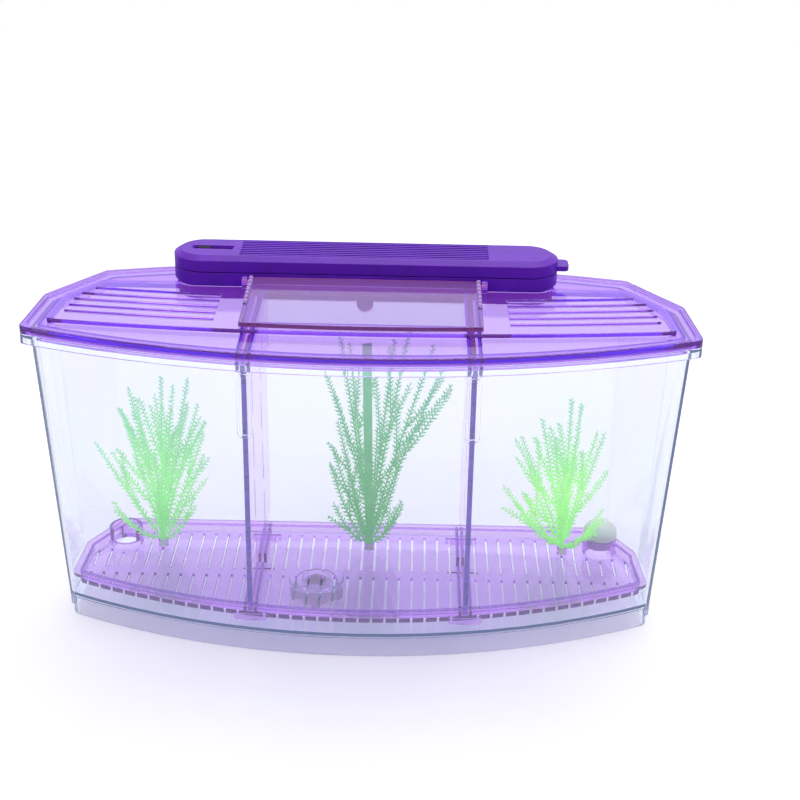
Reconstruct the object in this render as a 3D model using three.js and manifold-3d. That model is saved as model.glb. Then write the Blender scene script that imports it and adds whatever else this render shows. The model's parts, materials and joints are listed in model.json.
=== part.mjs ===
import * as THREE from 'three';
import { mergeVertices } from 'three/addons/utils/BufferGeometryUtils.js';
import Module from 'manifold-3d';

// A desktop fish breeding box: a clear tank with two slotted dividers over a purple grating, under a
// purple lid that carries a feeding flap and a battery light bar. Millimetres, +Z up, the front is -Y,
// and the origin is the middle of the footprint on the surface that the box stands on.

const wasm = await Module();
wasm.setup();

// Shared clearances
const seat = 0.3;
const overrun = 1;
const wall = 1.5;

// Facets of round bodies
const wideSides = 24;
const roundSides = 20;
const postSides = 16;
const smallSides = 12;
const pinSides = 10;
const notchSides = 8;
const toothSides = 6;
const wireSides = 6;
const halfRoundSteps = 8;
const domeSteps = 5;
const plainCornerSteps = 2;

// Rim outline, seen from above: a bowed front, straight sides, chamfered back corners, a bowed back
const rimHalfWidth = 115;
const rimFrontBow = 21.4;
const rimSideLength = 29.9;
const rimSideDraw = 2.2;
const rimChamferDepth = 25.3;
const rimChamferWidth = 17.2;
const rimBackBow = 12.4;
const rimCorner = 3;
const rimDepth = rimFrontBow + rimSideLength + rimChamferDepth + rimBackBow;
const frontEdgeY = -rimDepth / 2;
const frontArcSteps = 18;
const backArcSteps = 10;

// Floor outline of the tank, given by how far the walls lean in from under the rim
const lipOverhang = 2.9;
const sideLean = 5.4;
const floorHalfWidth = rimHalfWidth - lipOverhang - sideLean;
const floorFrontBow = 24;
const floorSideLength = 23.5;
const floorSideDraw = 1;
const floorChamferDepth = 20.2;
const floorChamferWidth = 11.4;
const floorBackBow = 6.5;

// Tank
const rimHeight = 114.2;
const plinthHeight = 8;
const plinthRecess = 0.8;
const floorThickness = 1.6;
const floorTop = plinthHeight + floorThickness;
const lipHeight = 3.4;
const lipFlange = 1.3;
const lipSkirt = 1.2;
const tabRadius = 2.6;
const tabThickness = 0.9;
const sideSkirtDrop = 3.4;

// Dividers, and the framed pads on the tank's walls that they run past
const dividerX = 37.9;
const dividerThickness = 1.8;
const dividerPlay = 0.4;
const padDepth = 1;
const padHalfWidth = 2.5;
const padRib = 1;
const padCorner = 2;
const padFromRim = 6.2;
const padHeight = 23.5;
const padTop = rimHeight - padFromRim;
const padBottom = padTop - padHeight;
const slitWidth = 1;
const slitRows = 4;
const slitFirst = 22.5;
const slitTopMargin = 11.8;
const slitGap = 5.5;
const slitFrontY = -18;
const slitBackY = 11.5;

// Tray: a pan whose rim flange follows the tank's walls
const trayClearance = 3;
const trayBottom = floorTop + trayClearance;
const trayPlate = 1.3;
const trayHeight = 4.8;
const flangeWidth = 3.2;
const flangeThickness = 1.2;
const flangeOverhang = 2;
const trayPlay = 0.4;
const trayCorner = 3;
const slotWidth = 0.8;
const slotsToDivider = 8;
const slotPitch = dividerX / slotsToDivider;
const frontRowY = -9.6;
const backRowFrontY = -5.2;
const backRowMargin = 1.4;
const slotMargin = 1.2;
const slotsToSide = Math.floor(
  (floorHalfWidth - wall - trayPlay - flangeWidth - slotMargin) / slotPitch,
);
const finThickness = 1.1;
const finRise = 0.5;
const finGapFrontY = -7;
const finGapBackY = -1;
const crossSlitLength = 11.5;
const crossSlitWidth = 0.8;
const legWidth = 12;
const legThickness = 1.2;
const legCorner = 1.5;

// Hose ports, plant sockets and the port's cap
const portFromSide = 16.4;
const portX = floorHalfWidth - portFromSide;
const portY = 12.6;
const portRadius = 6.3;
const portWall = 1.1;
const portHeight = 6.8;
const portOpenHeight = 2.2;
const socketFromPort = 14.3;
const socketX = portX - socketFromPort;
const socketY = 10.6;
const socketRadius = 1.9;
const socketBore = 1.3;
const socketHeight = 2.6;
const capDome = 4.4;
const capBand = 1.6;
const capStem = 4;
const capLoopRadius = 2.2;
const capLoopWire = 0.35;

// Drain
const drainX = -16.4;
const drainY = -8.5;
const flangeRadius = 10.2;
const flangeHeight = 1;
const spigotRadius = 5.6;
const spigotBore = 4.5;
const spigotDrop = 0.9;
const knobDomeRise = 0.35;
const hubRadius = 6;
const wingLength = 19.6;
const wingWidth = 4.4;
const crossWingLength = 16.4;
const wingHeight = 4.2;
const sealWire = 0.35;
const sealRadius = 7.4;

// Lid
const lidPlate = 1.7;
const beadWidth = 2.3;
const beadDrop = 0.4;
const beadRise = 0.6;
const skirtDepth = 3.8;
const skirtThickness = 1.4;
const skirtPlay = 0.5;
const deckInset = 8;
const deckRise = 1.7;
const deckWall = 1.5;
const deckFromFront = 18.9;
const deckFrontY = frontEdgeY + deckFromFront;
const deckFrontBow = 7;
const deckFromBack = 25.6;
const deckBackY = -frontEdgeY - deckFromBack;
const ventsEachSide = 5;
const ventWidth = 1.3;
const ventPitch = 5.6;
const ventFirst = 8.3;
const ventFromEar = 7;
const ventMargin = 4.6;
const ventSteps = 4;
const channelRib = 1.2;
const channelGrip = 2;
const channelFromBack = 5.1;

// Feeding flap
const flapHalfWidth = 41;
const flapFromDeck = 1.3;
const flapFrontY = deckFrontY + flapFromDeck;
const flapBow = 1.5;
const flapBowSteps = 8;
const flapFromBack = 4.7;
const flapBackY = deckBackY - flapFromBack;
const flapThickness = 1.5;
const flapRise = 2.3;
const flapCheek = 1.4;
const pinFromBack = 2;
const pinY = flapBackY - pinFromBack;
const pinRadius = 0.7;
const pinLength = 2.2;
const pinPlay = 0.25;
const earThickness = 2;
const earHalfDepth = 2.1;
const earPlay = 0.5;
const toothRadius = 0.6;
const toothPitch = 1.6;
const teethEachSide = 14;
const ventInnerX = flapHalfWidth + earPlay + earThickness + ventFromEar;
const hatchMargin = 6;
const hatchFrontMargin = 4.3;
const hatchBackMargin = 2.6;
const hatchHalfWidth = flapHalfWidth - hatchMargin;
const hatchFrontY = flapFrontY + hatchFrontMargin;
const hatchBackY = pinY - hatchBackMargin;
const channelBackY = deckBackY - channelFromBack;

// Light bar, as long as its two cells in line and the switch need
const cellRadius = 5.25;
const cellLength = 43.7;
const cellNubRadius = 1.9;
const cellNubLength = 0.8;
const cellsMiddleX = 0.9;
const cellsStartX = cellsMiddleX - (cellLength + cellNubLength + seat);
const barEndRoom = 25.5;
const barHalfLength = cellLength + barEndRoom;
const barHalfDepth = 10.8;
const barFromBack = 18.8;
const barY = -frontEdgeY - barFromBack;
const barWall = 1.4;
const caseHeight = 4.7;
const wellInset = 1.5;
const wellHalfLength = barHalfLength - wellInset;
const wellHalfDepth = 7.5;
const wellFromBar = 2.3;
const wellY = barY - wellFromBar;
const wellPlay = 0.4;
const wellDrop = 2.2;
const wellBottom = rimHeight - wellDrop;
const wellFloor = 1.8;
const tongueRadius = 3;
const tongueThickness = 1.2;
const tongueDrop = 1;
const coverHeight = 5.6;
const coverWall = 1.2;
const coverBevel = 2.4;
const coverBevelDrop = 1.5;
const coverTongue = 1.6;
const coverTongueThickness = 1;
const ridgeCount = 8;
const ridgePitch = 1.95;
const ridgeWidth = 0.9;
const ridgeHeight = 0.35;
const ridgeLead = 1.3;
const ridgeStartX = -cellLength - ridgeLead;
const ridgeEndX = cellLength + seat;
const pryReach = 3.9;
const pryHalfWidth = 3.9;
const pryHeight = 1.9;
const pryRise = 0.4;
const switchFromEnd = 14;
const switchSlotX = -barHalfLength + switchFromEnd;
const switchSlotLength = 14;
const switchSlotWidth = 2.4;
const switchRecess = 0.5;

// Inside the light bar
const lensEndRoom = 10.7;
const lensLength = 2 * (wellHalfLength - lensEndRoom);
const lensWidth = 8.4;
const lensThickness = 0.9;
const lensLedge = 1;
const boardInset = 2.5;
const boardLength = lensLength - 2 * boardInset;
const boardWidth = 5.6;
const boardThickness = 0.9;
const boardGap = 1.6;
const ledCount = 6;
const ledPitch = boardLength / ledCount;
const ledLength = 3.5;
const ledWidth = 2.8;
const ledHeight = 0.9;
const screwInset = 3;
const screwX = boardLength / 2 - screwInset;
const screwHeadRadius = 1.3;
const screwHeadHeight = 0.7;
const screwShankRadius = 0.6;
const screwShankLength = 3;
const bridgeLength = 5;
const bridgeHeight = 2.6;
const cradleReach = 2.3;
const cradleWidth = 1.2;
const cradleInset = 8;
const contactThickness = 0.5;
const contactWidth = 8;
const contactHeight = 8.4;
const springRadius = 2.6;
const springWire = 0.35;
const springCurls = 4;
const springLength = 2.6;
const springSides = 5;
const springStepsPerCurl = 8;
const bulkhead = 1.2;
const switchBodyWall = 1.1;
const switchBodyWidth = 7;
const switchBodyHeight = 5.8;
const knobLength = 4.4;
const knobWidth = 1.8;
const knobFootLength = 5.6;
const knobFootWidth = 4.2;
const knobFootHeight = 1;
const knobTravel = 6;
const knobLeverLength = 1.8;
const knobLeverWidth = 1.6;

// Plants: each frond has its share of the spread to the side, of the spread in depth and of the height
const frondHalfWidth = 1.5;
const frondHalfThickness = 0.7;
const frondTip = 0.35;
const frondSteps = 5;
const frondBendShare = 1.3;
const depthSpread = 9;
const sidePlantSpread = 23;
const centrePlantSpread = 30;
const plantTable = [
  {
    name: 'plant_left', x: -socketX, spread: sidePlantSpread, heightShare: 0.69,
    colour: '#a5e6a5',
    shares: [
      [-0.43, 0.1, 0.94], [-0.3, -0.35, 0.91], [0.09, 0.2, 1], [0.3, -0.2, 0.98], [0.52, 0.15, 1],
      [0.54, -0.4, 0.89], [0.65, 0.3, 0.83], [0.74, -0.15, 0.55], [0.72, 0.35, 0.65], [0.57, -0.5, 0.3],
      [-1, -0.1, 0.61], [-0.54, 0.4, 0.71], [-0.74, -0.5, 0.26], [0, -0.8, 0.6], [0.1, 0.8, 0.7],
    ],
  },
  {
    name: 'plant_centre', x: slotPitch / 2, spread: centrePlantSpread, heightShare: 0.895,
    colour: '#6eb996',
    shares: [
      [-0.48, 0.1, 0.46], [-0.31, -0.4, 0.46], [-0.52, 0.3, 0.37], [-0.46, -0.2, 0.2], [-0.41, 0, 0.59],
      [0.38, 0.2, 0.36], [0.42, -0.3, 0.22], [0.44, 0.1, 0.18], [-0.4, 0.4, 0.98], [-0.28, 0.9, 0.9],
      [0.3, 0.3, 0.95], [0.5, 0.7, 1], [0.8, 0.5, 0.92], [0.96, 0.9, 0.84], [0.1, -0.8, 0.6],
    ],
  },
  {
    name: 'plant_right', x: socketX, spread: sidePlantSpread, heightShare: 0.64,
    colour: '#bdf0a0',
    shares: [
      [-1, 0.1, 0.4], [-0.66, -0.3, 0.38], [-0.6, 0.35, 0.52], [-0.77, -0.1, 0.76], [-0.44, 0.2, 0.85],
      [-0.24, -0.4, 0.76], [0, 0.1, 1], [0.15, -0.2, 0.99], [0.46, 0.3, 0.77], [0.55, -0.2, 0.8],
      [0.58, -0.9, 0.34], [0.46, -0.9, 0.22], [-0.8, 0.4, 0.27], [0.1, 0.8, 0.6], [-0.1, -0.8, 0.5],
    ],
  },
];

// Levels and places that several pieces share
const lidBottom = rimHeight + seat;
const plateBottom = lidBottom + beadDrop;
const plateTop = plateBottom + lidPlate;
const deckTop = plateTop + deckRise;
const skirtBottom = plateBottom - skirtDepth;
const dividerTop = skirtBottom - seat;
const slitLength = (dividerTop - slitTopMargin - slitFirst + slitGap) / slitRows - slitGap;
const slitPitch = slitLength + slitGap;
const trayTop = trayBottom + trayHeight;
const plateLevel = trayBottom + trayPlate;
const flapBottom = deckTop + seat;
const pinZ = flapBottom + flapRise + seat;
const caseBottom = deckTop + seat;
const caseTop = caseBottom + caseHeight;
const coverBottom = caseTop + seat;
const coverTop = coverBottom + coverHeight;
const boardBottom = wellBottom + wellFloor + boardGap;
const bridgeBottom = boardBottom + boardThickness + seat;
const bridgeTop = bridgeBottom + bridgeHeight;
const cellZ = bridgeBottom + cellRadius;
const bulkheadTop = caseTop - coverTongue - seat;
const contactLeftX = cellsStartX - seat - springLength - springWire - contactThickness;
const contactRightX = cellX(2);

function cellX(index) {
  return cellsStartX + index * (cellLength + cellNubLength + seat);
}

// Solids from three.js geometries
function solid(geometry) {
  const bare = geometry.clone();
  bare.deleteAttribute('normal');
  bare.deleteAttribute('uv');
  const merged = mergeVertices(bare);
  return new wasm.Manifold(new wasm.Mesh({
    numProp: 3,
    vertProperties: Float32Array.from(merged.attributes.position.array),
    triVerts: Uint32Array.from(merged.index.array),
  }));
}

function join(solids) {
  return solids.reduce((whole, piece) => whole.add(piece));
}

function box(x0, x1, y0, y1, z0, z1) {
  const geometry = new THREE.BoxGeometry(x1 - x0, y1 - y0, z1 - z0);
  geometry.translate((x0 + x1) / 2, (y0 + y1) / 2, (z0 + z1) / 2);
  return solid(geometry);
}

function extruded(points, depth) {
  return new THREE.ExtrudeGeometry(new THREE.Shape(points), { depth, bevelEnabled: false });
}

function prism(points, z0, z1) {
  const geometry = extruded(points, z1 - z0);
  geometry.translate(0, 0, z0);
  return solid(geometry);
}

// A prism along Y, whose outline is drawn in X and Z
function prismAlongY(points, y0, y1) {
  const geometry = extruded(points, y1 - y0);
  geometry.rotateX(Math.PI / 2);
  geometry.translate(0, y1, 0);
  return solid(geometry);
}

// A prism along X, whose outline is drawn in Y and Z
function prismAlongX(points, x0, x1) {
  const geometry = extruded(points, x1 - x0);
  geometry.rotateX(Math.PI / 2);
  geometry.rotateZ(Math.PI / 2);
  geometry.translate(x0, 0, 0);
  return solid(geometry);
}

function disc(radius, z0, z1, x, y, sides = roundSides) {
  const geometry = new THREE.CylinderGeometry(radius, radius, z1 - z0, sides);
  geometry.rotateX(Math.PI / 2);
  geometry.translate(x, y, (z0 + z1) / 2);
  return solid(geometry);
}

function rod(radius, x0, x1, y, z, sides = postSides) {
  const geometry = new THREE.CylinderGeometry(radius, radius, x1 - x0, sides);
  geometry.rotateZ(Math.PI / 2);
  geometry.translate((x0 + x1) / 2, y, z);
  return solid(geometry);
}

function turned(profile, x, y, sides = wideSides) {
  const points = profile.map(([radius, z]) => new THREE.Vector2(radius, z));
  const geometry = new THREE.LatheGeometry(points, sides);
  geometry.rotateX(Math.PI / 2);
  geometry.translate(x, y, 0);
  return solid(geometry);
}

// A closed solid through rings of points that have the same count and order
function loft(rings) {
  const count = rings[0].length;
  const positions = rings.flatMap((ring) => ring.flatMap((point) => [point.x, point.y, point.z]));
  const index = [];
  for (let level = 0; level < rings.length - 1; level += 1) {
    for (let step = 0; step < count; step += 1) {
      const here = level * count + step;
      const next = level * count + ((step + 1) % count);
      index.push(here, next, next + count, here, next + count, here + count);
    }
  }
  const last = (rings.length - 1) * count;
  const flat = rings[0].map((point) => new THREE.Vector2(point.x, point.y));
  for (const [a, b, c] of THREE.ShapeUtils.triangulateShape(flat, [])) {
    index.push(c, b, a, a + last, b + last, c + last);
  }
  const geometry = new THREE.BufferGeometry();
  geometry.setAttribute('position', new THREE.Float32BufferAttribute(positions, 3));
  geometry.setIndex(index);
  return solid(geometry);
}

function level(points, z) {
  return points.map((point) => new THREE.Vector3(point.x, point.y, z));
}

// Outlines, always counter-clockwise from the front left corner
function planOutline(size) {
  const arc = (halfWidth, bow, steps, direction) => {
    const radius = (halfWidth ** 2 + bow ** 2) / (2 * bow);
    return Array.from({ length: steps + 1 }, (_, step) => {
      const x = direction * halfWidth * ((2 * step) / steps - 1);
      return new THREE.Vector2(x, Math.sqrt(radius ** 2 - x ** 2) - radius + bow);
    });
  };
  const cornerY = size.frontY + size.frontBow;
  const sideY = cornerY + size.sideLength;
  const backY = sideY + size.chamferDepth;
  const sideX = size.halfWidth - size.sideDraw;
  const front = arc(size.halfWidth, size.frontBow, frontArcSteps, 1);
  const back = arc(sideX - size.chamferWidth, size.backBow, backArcSteps, -1);
  return [
    ...front.map((point) => new THREE.Vector2(point.x, cornerY - point.y)),
    new THREE.Vector2(sideX, sideY),
    ...back.map((point) => new THREE.Vector2(point.x, backY + point.y)),
    new THREE.Vector2(-sideX, sideY),
  ];
}

// The outline moved inward by the same distance on every edge
function inset(points, distance) {
  return points.map((point, index) => {
    const before = points[(index + points.length - 1) % points.length];
    const after = points[(index + 1) % points.length];
    const normalIn = new THREE.Vector2(before.y - point.y, point.x - before.x).normalize();
    const normalOut = new THREE.Vector2(point.y - after.y, after.x - point.x).normalize();
    const middle = normalIn.clone().add(normalOut).normalize();
    return point.clone().addScaledVector(middle, distance / middle.dot(normalIn));
  });
}

// Corners that turn sharply become arcs; the small turns of the bowed edges stay as they are
function rounded(points, radius, sharpTurn = Math.PI / 9, steps = plainCornerSteps) {
  return points.flatMap((point, index) => {
    const before = points[(index + points.length - 1) % points.length];
    const after = points[(index + 1) % points.length];
    const incoming = point.clone().sub(before).normalize();
    const outgoing = after.clone().sub(point).normalize();
    const turn = Math.acos(Math.min(1, incoming.dot(outgoing)));
    if (turn < sharpTurn) return [point];
    const room = Math.min(point.distanceTo(before), point.distanceTo(after)) / 2;
    const reach = Math.min(radius * Math.tan(turn / 2), room);
    const start = point.clone().addScaledVector(incoming, -reach);
    const end = point.clone().addScaledVector(outgoing, reach);
    const curve = new THREE.QuadraticBezierCurve(start, point, end);
    return curve.getPoints(steps);
  });
}

// The part of an outline in front of a straight line along X
function clipBehind(points, limitY) {
  return points.flatMap((point, index) => {
    const next = points[(index + 1) % points.length];
    const kept = point.y <= limitY ? [point] : [];
    if ((point.y <= limitY) === (next.y <= limitY)) return kept;
    const share = (limitY - point.y) / (next.y - point.y);
    return [...kept, point.clone().lerp(next, share)];
  });
}

function stadium(halfLength, halfDepth, y, steps = 10) {
  const shape = new THREE.Shape();
  const straight = halfLength - halfDepth;
  shape.absarc(straight, y, halfDepth, -Math.PI / 2, Math.PI / 2);
  shape.absarc(-straight, y, halfDepth, Math.PI / 2, (3 * Math.PI) / 2);
  return shape.getPoints(steps);
}

function roundedRectangle(x0, x1, y0, y1, radius, steps = 3) {
  const shape = new THREE.Shape();
  shape.absarc(x1 - radius, y0 + radius, radius, -Math.PI / 2, 0);
  shape.absarc(x1 - radius, y1 - radius, radius, 0, Math.PI / 2);
  shape.absarc(x0 + radius, y1 - radius, radius, Math.PI / 2, Math.PI);
  shape.absarc(x0 + radius, y0 + radius, radius, Math.PI, (3 * Math.PI) / 2);
  return shape.getPoints(steps);
}

// Outlines of the rim and of the tank's walls
const rimPlan = planOutline({
  halfWidth: rimHalfWidth,
  frontY: frontEdgeY,
  frontBow: rimFrontBow,
  sideLength: rimSideLength,
  sideDraw: rimSideDraw,
  chamferDepth: rimChamferDepth,
  chamferWidth: rimChamferWidth,
  backBow: rimBackBow,
});
const floorPlan = planOutline({
  halfWidth: floorHalfWidth,
  frontY: frontEdgeY + lipOverhang,
  frontBow: floorFrontBow,
  sideLength: floorSideLength,
  sideDraw: floorSideDraw,
  chamferDepth: floorChamferDepth,
  chamferWidth: floorChamferWidth,
  backBow: floorBackBow,
});
const wallTopPlan = inset(rimPlan, lipOverhang);

function wallPlan(z, depth = 0) {
  const share = (z - plinthHeight) / (rimHeight - plinthHeight);
  const outline = floorPlan.map((point, index) => point.clone().lerp(wallTopPlan[index], share));
  return rounded(inset(outline, depth), rimCorner);
}

function rimInset(depth) {
  return rounded(inset(rimPlan, depth), rimCorner);
}

function wallSolid(z0, z1, depth) {
  return loft([level(wallPlan(z0, depth), z0), level(wallPlan(z1, depth), z1)]);
}

function wallY(x, z, depth, side) {
  const hits = crossings(wallPlan(z, depth), x);
  return side < 0 ? Math.min(...hits) : Math.max(...hits);
}

const group = new THREE.Group();

function material(colour, roughness, metalness = 0) {
  return new THREE.MeshStandardMaterial({ color: colour, roughness, metalness, flatShading: true });
}
const clearPlastic = material('#e8ecf6', 0.08);
const purplePlastic = material('#c9a8f5', 0.12);
const barPlastic = material('#4a1fb0', 0.35);
const blackPlastic = material('#18161c', 0.45);
const whitePlastic = material('#f4f4f2', 0.4);
const greyPlastic = material('#6e7887', 0.5);
const rubber = material('#3a3c40', 0.85);
const steel = material('#b9bcc2', 0.3, 1);
const boardGreen = material('#1f6b45', 0.55);
const cellPaint = material('#3c6fb4', 0.35, 0.2);

function place(name, body, look) {
  const mesh = body.getMesh();
  const geometry = new THREE.BufferGeometry();
  geometry.setAttribute('position', new THREE.Float32BufferAttribute(mesh.vertProperties, 3));
  geometry.setIndex(Array.from(mesh.triVerts));
  geometry.computeVertexNormals();
  const node = new THREE.Mesh(geometry, look);
  node.name = name;
  group.add(node);
}

const sides = [-1, 1];

// Tank: leaning walls over a plinth skirt, a hooked lip, framed pads, half-round tabs, the drain hole
function makeTank() {
  const lipBottom = rimHeight - lipHeight;
  const shell = wallSolid(plinthHeight, rimHeight, 0);
  const plinth = prism(wallPlan(plinthHeight, plinthRecess), 0, plinthHeight + floorThickness / 2);
  const lip = prism(rimInset(0), lipBottom, rimHeight)
    .subtract(prism(rimInset(lipSkirt), lipBottom - overrun, rimHeight - lipFlange));
  const hollow = prism(wallPlan(plinthHeight, plinthRecess + wall), -overrun, plinthHeight)
    .add(wallSolid(floorTop, rimHeight + overrun, wall));
  const padBand = wallSolid(padBottom, padTop, wall / 2)
    .subtract(wallSolid(padBottom - overrun, padTop + overrun, wall + padDepth));
  const pads = sides.map((side) => {
    const x = side * dividerX;
    const frame = (grow) => prismAlongY(roundedRectangle(
      x - padHalfWidth + grow, x + padHalfWidth - grow, padBottom + grow, padTop - grow,
      padCorner - grow / 2, plainCornerSteps,
    ), frontEdgeY, -frontEdgeY);
    return padBand.intersect(frame(0).subtract(frame(padRib)));
  });
  const tabs = sides.map((side) => {
    const half = new THREE.Shape();
    half.absarc(0, 0, tabRadius, Math.PI, 2 * Math.PI);
    const x = side * (dividerX + padRib);
    const y = wallY(x, rimHeight, -lipOverhang, -1);
    const flange = new THREE.Vector2(x, rimHeight - lipFlange);
    const points = half.getPoints(halfRoundSteps).map((point) => point.add(flange));
    return prismAlongY(points, y + seat, y + seat + tabThickness);
  });
  const skirtTop = floorTop - floorThickness / 2;
  const skirtBand = prism(wallPlan(plinthHeight), plinthHeight - sideSkirtDrop, skirtTop)
    .subtract(prism(wallPlan(plinthHeight, plinthRecess + wall / 2), 0, rimHeight));
  const sideSkirts = sides.map((side) => {
    const inner = side * (floorHalfWidth - floorSideDraw - plinthRecess);
    const outer = side * rimHalfWidth;
    return skirtBand.intersect(box(
      Math.min(inner, outer), Math.max(inner, outer), frontEdgeY, -frontEdgeY, 0, rimHeight,
    ));
  });
  return join([shell, plinth, lip]).subtract(hollow).add(join([...pads, ...tabs, ...sideSkirts]))
    .subtract(disc(spigotRadius + seat, -overrun, rimHeight / 2, drainX, drainY));
}

// Dividers: slotted plates that follow the walls from the tray's channels up to the lid's ribs
function makeDivider(side) {
  const x = side * dividerX;
  const half = dividerThickness / 2;
  const bottom = plateLevel + seat;
  const depth = wall + padDepth + dividerPlay;
  const plate = wallSolid(bottom, dividerTop, depth)
    .intersect(box(x - half, x + half, frontEdgeY, -frontEdgeY, bottom - overrun, dividerTop + overrun));
  const rimTop = trayTop + finRise + dividerPlay;
  const behindRim = box(
    x - half - overrun, x + half + overrun, trayBackY - flangeWidth - dividerPlay, -frontEdgeY,
    bottom - overrun, rimTop,
  );
  const frontRim = trayFrontY(x) + flangeWidth + dividerPlay;
  const beforeRim = box(
    x - half - overrun, x + half + overrun, frontEdgeY, frontRim, bottom - overrun, rimTop,
  );
  const slits = [slitFrontY, slitBackY].flatMap((y) => Array.from({ length: slitRows }, (_, row) => {
    const z = slitFirst + row * slitPitch;
    return box(
      x - half - overrun, x + half + overrun, y - slitWidth / 2, y + slitWidth / 2, z, z + slitLength,
    );
  }));
  return plate.subtract(behindRim).subtract(beforeRim).subtract(join(slits));
}

// Tray: a rimmed plate with two rows of slots, channels for the dividers, legs, ports and sockets
const trayBackY = Math.max(...floorPlan.map((point) => point.y)) - floorBackBow - wall - trayPlay;
const backRowBackY = trayBackY - flangeWidth - backRowMargin;

function trayOutline(depth) {
  const clipped = clipBehind(inset(floorPlan, wall + trayPlay), trayBackY);
  return rounded(inset(clipped, depth), trayCorner);
}

function makeTray() {
  const pan = prism(trayOutline(flangeOverhang), trayBottom, trayTop)
    .add(prism(trayOutline(0), trayTop - flangeThickness, trayTop))
    .subtract(prism(trayOutline(flangeWidth), plateLevel, trayTop + overrun));
  const cutters = [];
  for (let count = -slotsToSide; count <= slotsToSide; count += 1) {
    if (Math.abs(count) === slotsToDivider) continue;
    const x = count * slotPitch;
    const half = slotWidth / 2;
    const backLimit = Math.max(...crossings(trayOutline(flangeWidth), x)) - slotMargin;
    cutters.push(box(x - half, x + half, frontEdgeY, frontRowY, trayBottom - overrun, plateLevel));
    cutters.push(box(
      x - half, x + half, backRowFrontY, Math.min(backRowBackY, backLimit),
      trayBottom - overrun, plateLevel + overrun,
    ));
  }
  for (const side of sides) {
    for (const y of [backRowFrontY, backRowBackY + crossSlitWidth]) {
      cutters.push(box(
        side * dividerX - crossSlitLength / 2, side * dividerX + crossSlitLength / 2,
        y - crossSlitWidth / 2, y + crossSlitWidth / 2, trayBottom - overrun, plateLevel + overrun,
      ));
    }
  }
  const channels = sides.map((side) => makeChannel(side * dividerX));
  const portTop = plateLevel + portHeight;
  const ports = sides.flatMap((side) => [
    disc(portRadius + portWall, trayBottom, plateLevel, side * portX, portY),
    disc(portRadius, trayBottom, portTop, side * portX, portY),
  ]);
  const portBores = sides.map((side) => (
    disc(portRadius - portWall, trayBottom - overrun, portTop + overrun, side * portX, portY)
  ));
  const leftPortFront = box(
    -portX - portRadius, -portX + portRadius, portY - portRadius - overrun, portY - portRadius / 2,
    plateLevel + portOpenHeight, portTop + overrun,
  );
  const socketTop = plateLevel + socketHeight;
  const sockets = plantTable.map((plant) => (
    disc(socketRadius, trayBottom, socketTop, plant.x, socketY, postSides)
  ));
  const socketBores = plantTable.map((plant) => (
    disc(socketBore, plateLevel - seat, socketTop + overrun, plant.x, socketY, smallSides)
  ));
  return pan.subtract(join(cutters))
    .add(join([...channels, ...ports, ...sockets]))
    .subtract(join([...portBores, leftPortFront, ...socketBores]));
}

function trayFrontY(x) {
  return Math.min(...crossings(trayOutline(0), x));
}

function crossings(outline, x) {
  return outline.flatMap((point, index) => {
    const next = outline[(index + 1) % outline.length];
    if ((point.x <= x) === (next.x <= x)) return [];
    return [THREE.MathUtils.mapLinear(x, point.x, next.x, point.y, next.y)];
  });
}

// Two fins each side of a divider, the cuts in the rim between them, and the legs below
function makeChannel(x) {
  const inner = dividerThickness / 2 + dividerPlay;
  const outer = inner + finThickness;
  const frontY = trayFrontY(x) + flangeWidth - flangeThickness / 2;
  const backY = trayBackY - flangeWidth + flangeThickness / 2;
  const fins = sides.flatMap((side) => {
    const x0 = side < 0 ? x - outer : x + inner;
    const x1 = x0 + finThickness;
    return [
      box(x0, x1, frontY, finGapFrontY, plateLevel - seat, trayTop + finRise),
      box(x0, x1, finGapBackY, backY, plateLevel - seat, trayTop + finRise),
    ];
  });
  const legOutline = roundedRectangle(
    x - legWidth / 2, x + legWidth / 2, floorTop + seat, plateLevel - seat, legCorner,
  );
  const legFrontY = trayFrontY(x) + flangeWidth;
  const legBackY = trayBackY - flangeWidth;
  return join([
    ...fins,
    prismAlongY(legOutline, legFrontY, legFrontY + legThickness),
    prismAlongY(legOutline, legBackY - legThickness, legBackY),
  ]);
}

// Plants: tapered fronds that fan out of a short stem, which is plugged into a socket of the tray
function makeFrond(root, tip) {
  const rings = Array.from({ length: frondSteps + 1 }, (_, step) => {
    const share = step / frondSteps;
    const bend = share ** frondBendShare;
    const slim = 1 - share ** 2;
    const x = root.x + (tip.x - root.x) * bend;
    const y = root.y + (tip.y - root.y) * bend;
    const z = THREE.MathUtils.lerp(root.z, tip.z, share);
    const halfWidth = frondTip + (frondHalfWidth - frondTip) * slim;
    const halfThickness = frondTip + (frondHalfThickness - frondTip) * slim;
    return [[1, 0], [0, 1], [-1, 0], [0, -1]].map(
      ([sideways, deep]) => new THREE.Vector3(x + sideways * halfWidth, y + deep * halfThickness, z),
    );
  });
  return loft(rings);
}

function makePlant(plant) {
  const bottom = plateLevel;
  const stemTop = plateLevel + socketHeight + socketRadius;
  const height = (skirtBottom - plateLevel) * plant.heightShare;
  const stem = disc(socketBore - seat, bottom, stemTop, plant.x, socketY, pinSides);
  const root = new THREE.Vector3(plant.x, socketY, plateLevel + socketHeight + seat);
  const reach = new THREE.Vector3(plant.spread, depthSpread, height);
  const fronds = plant.shares.map((shares) => (
    makeFrond(root, new THREE.Vector3(...shares).multiply(reach).add(root))
  ));
  return join([stem, ...fronds]);
}

// Profile points of a dome, from its edge to its top
function dome(radius, base, top) {
  return Array.from({ length: domeSteps + 1 }, (_, step) => {
    const angle = (step / domeSteps) * (Math.PI / 2);
    return [step === domeSteps ? 0 : radius * Math.cos(angle), base + (top - base) * Math.sin(angle)];
  });
}

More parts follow.
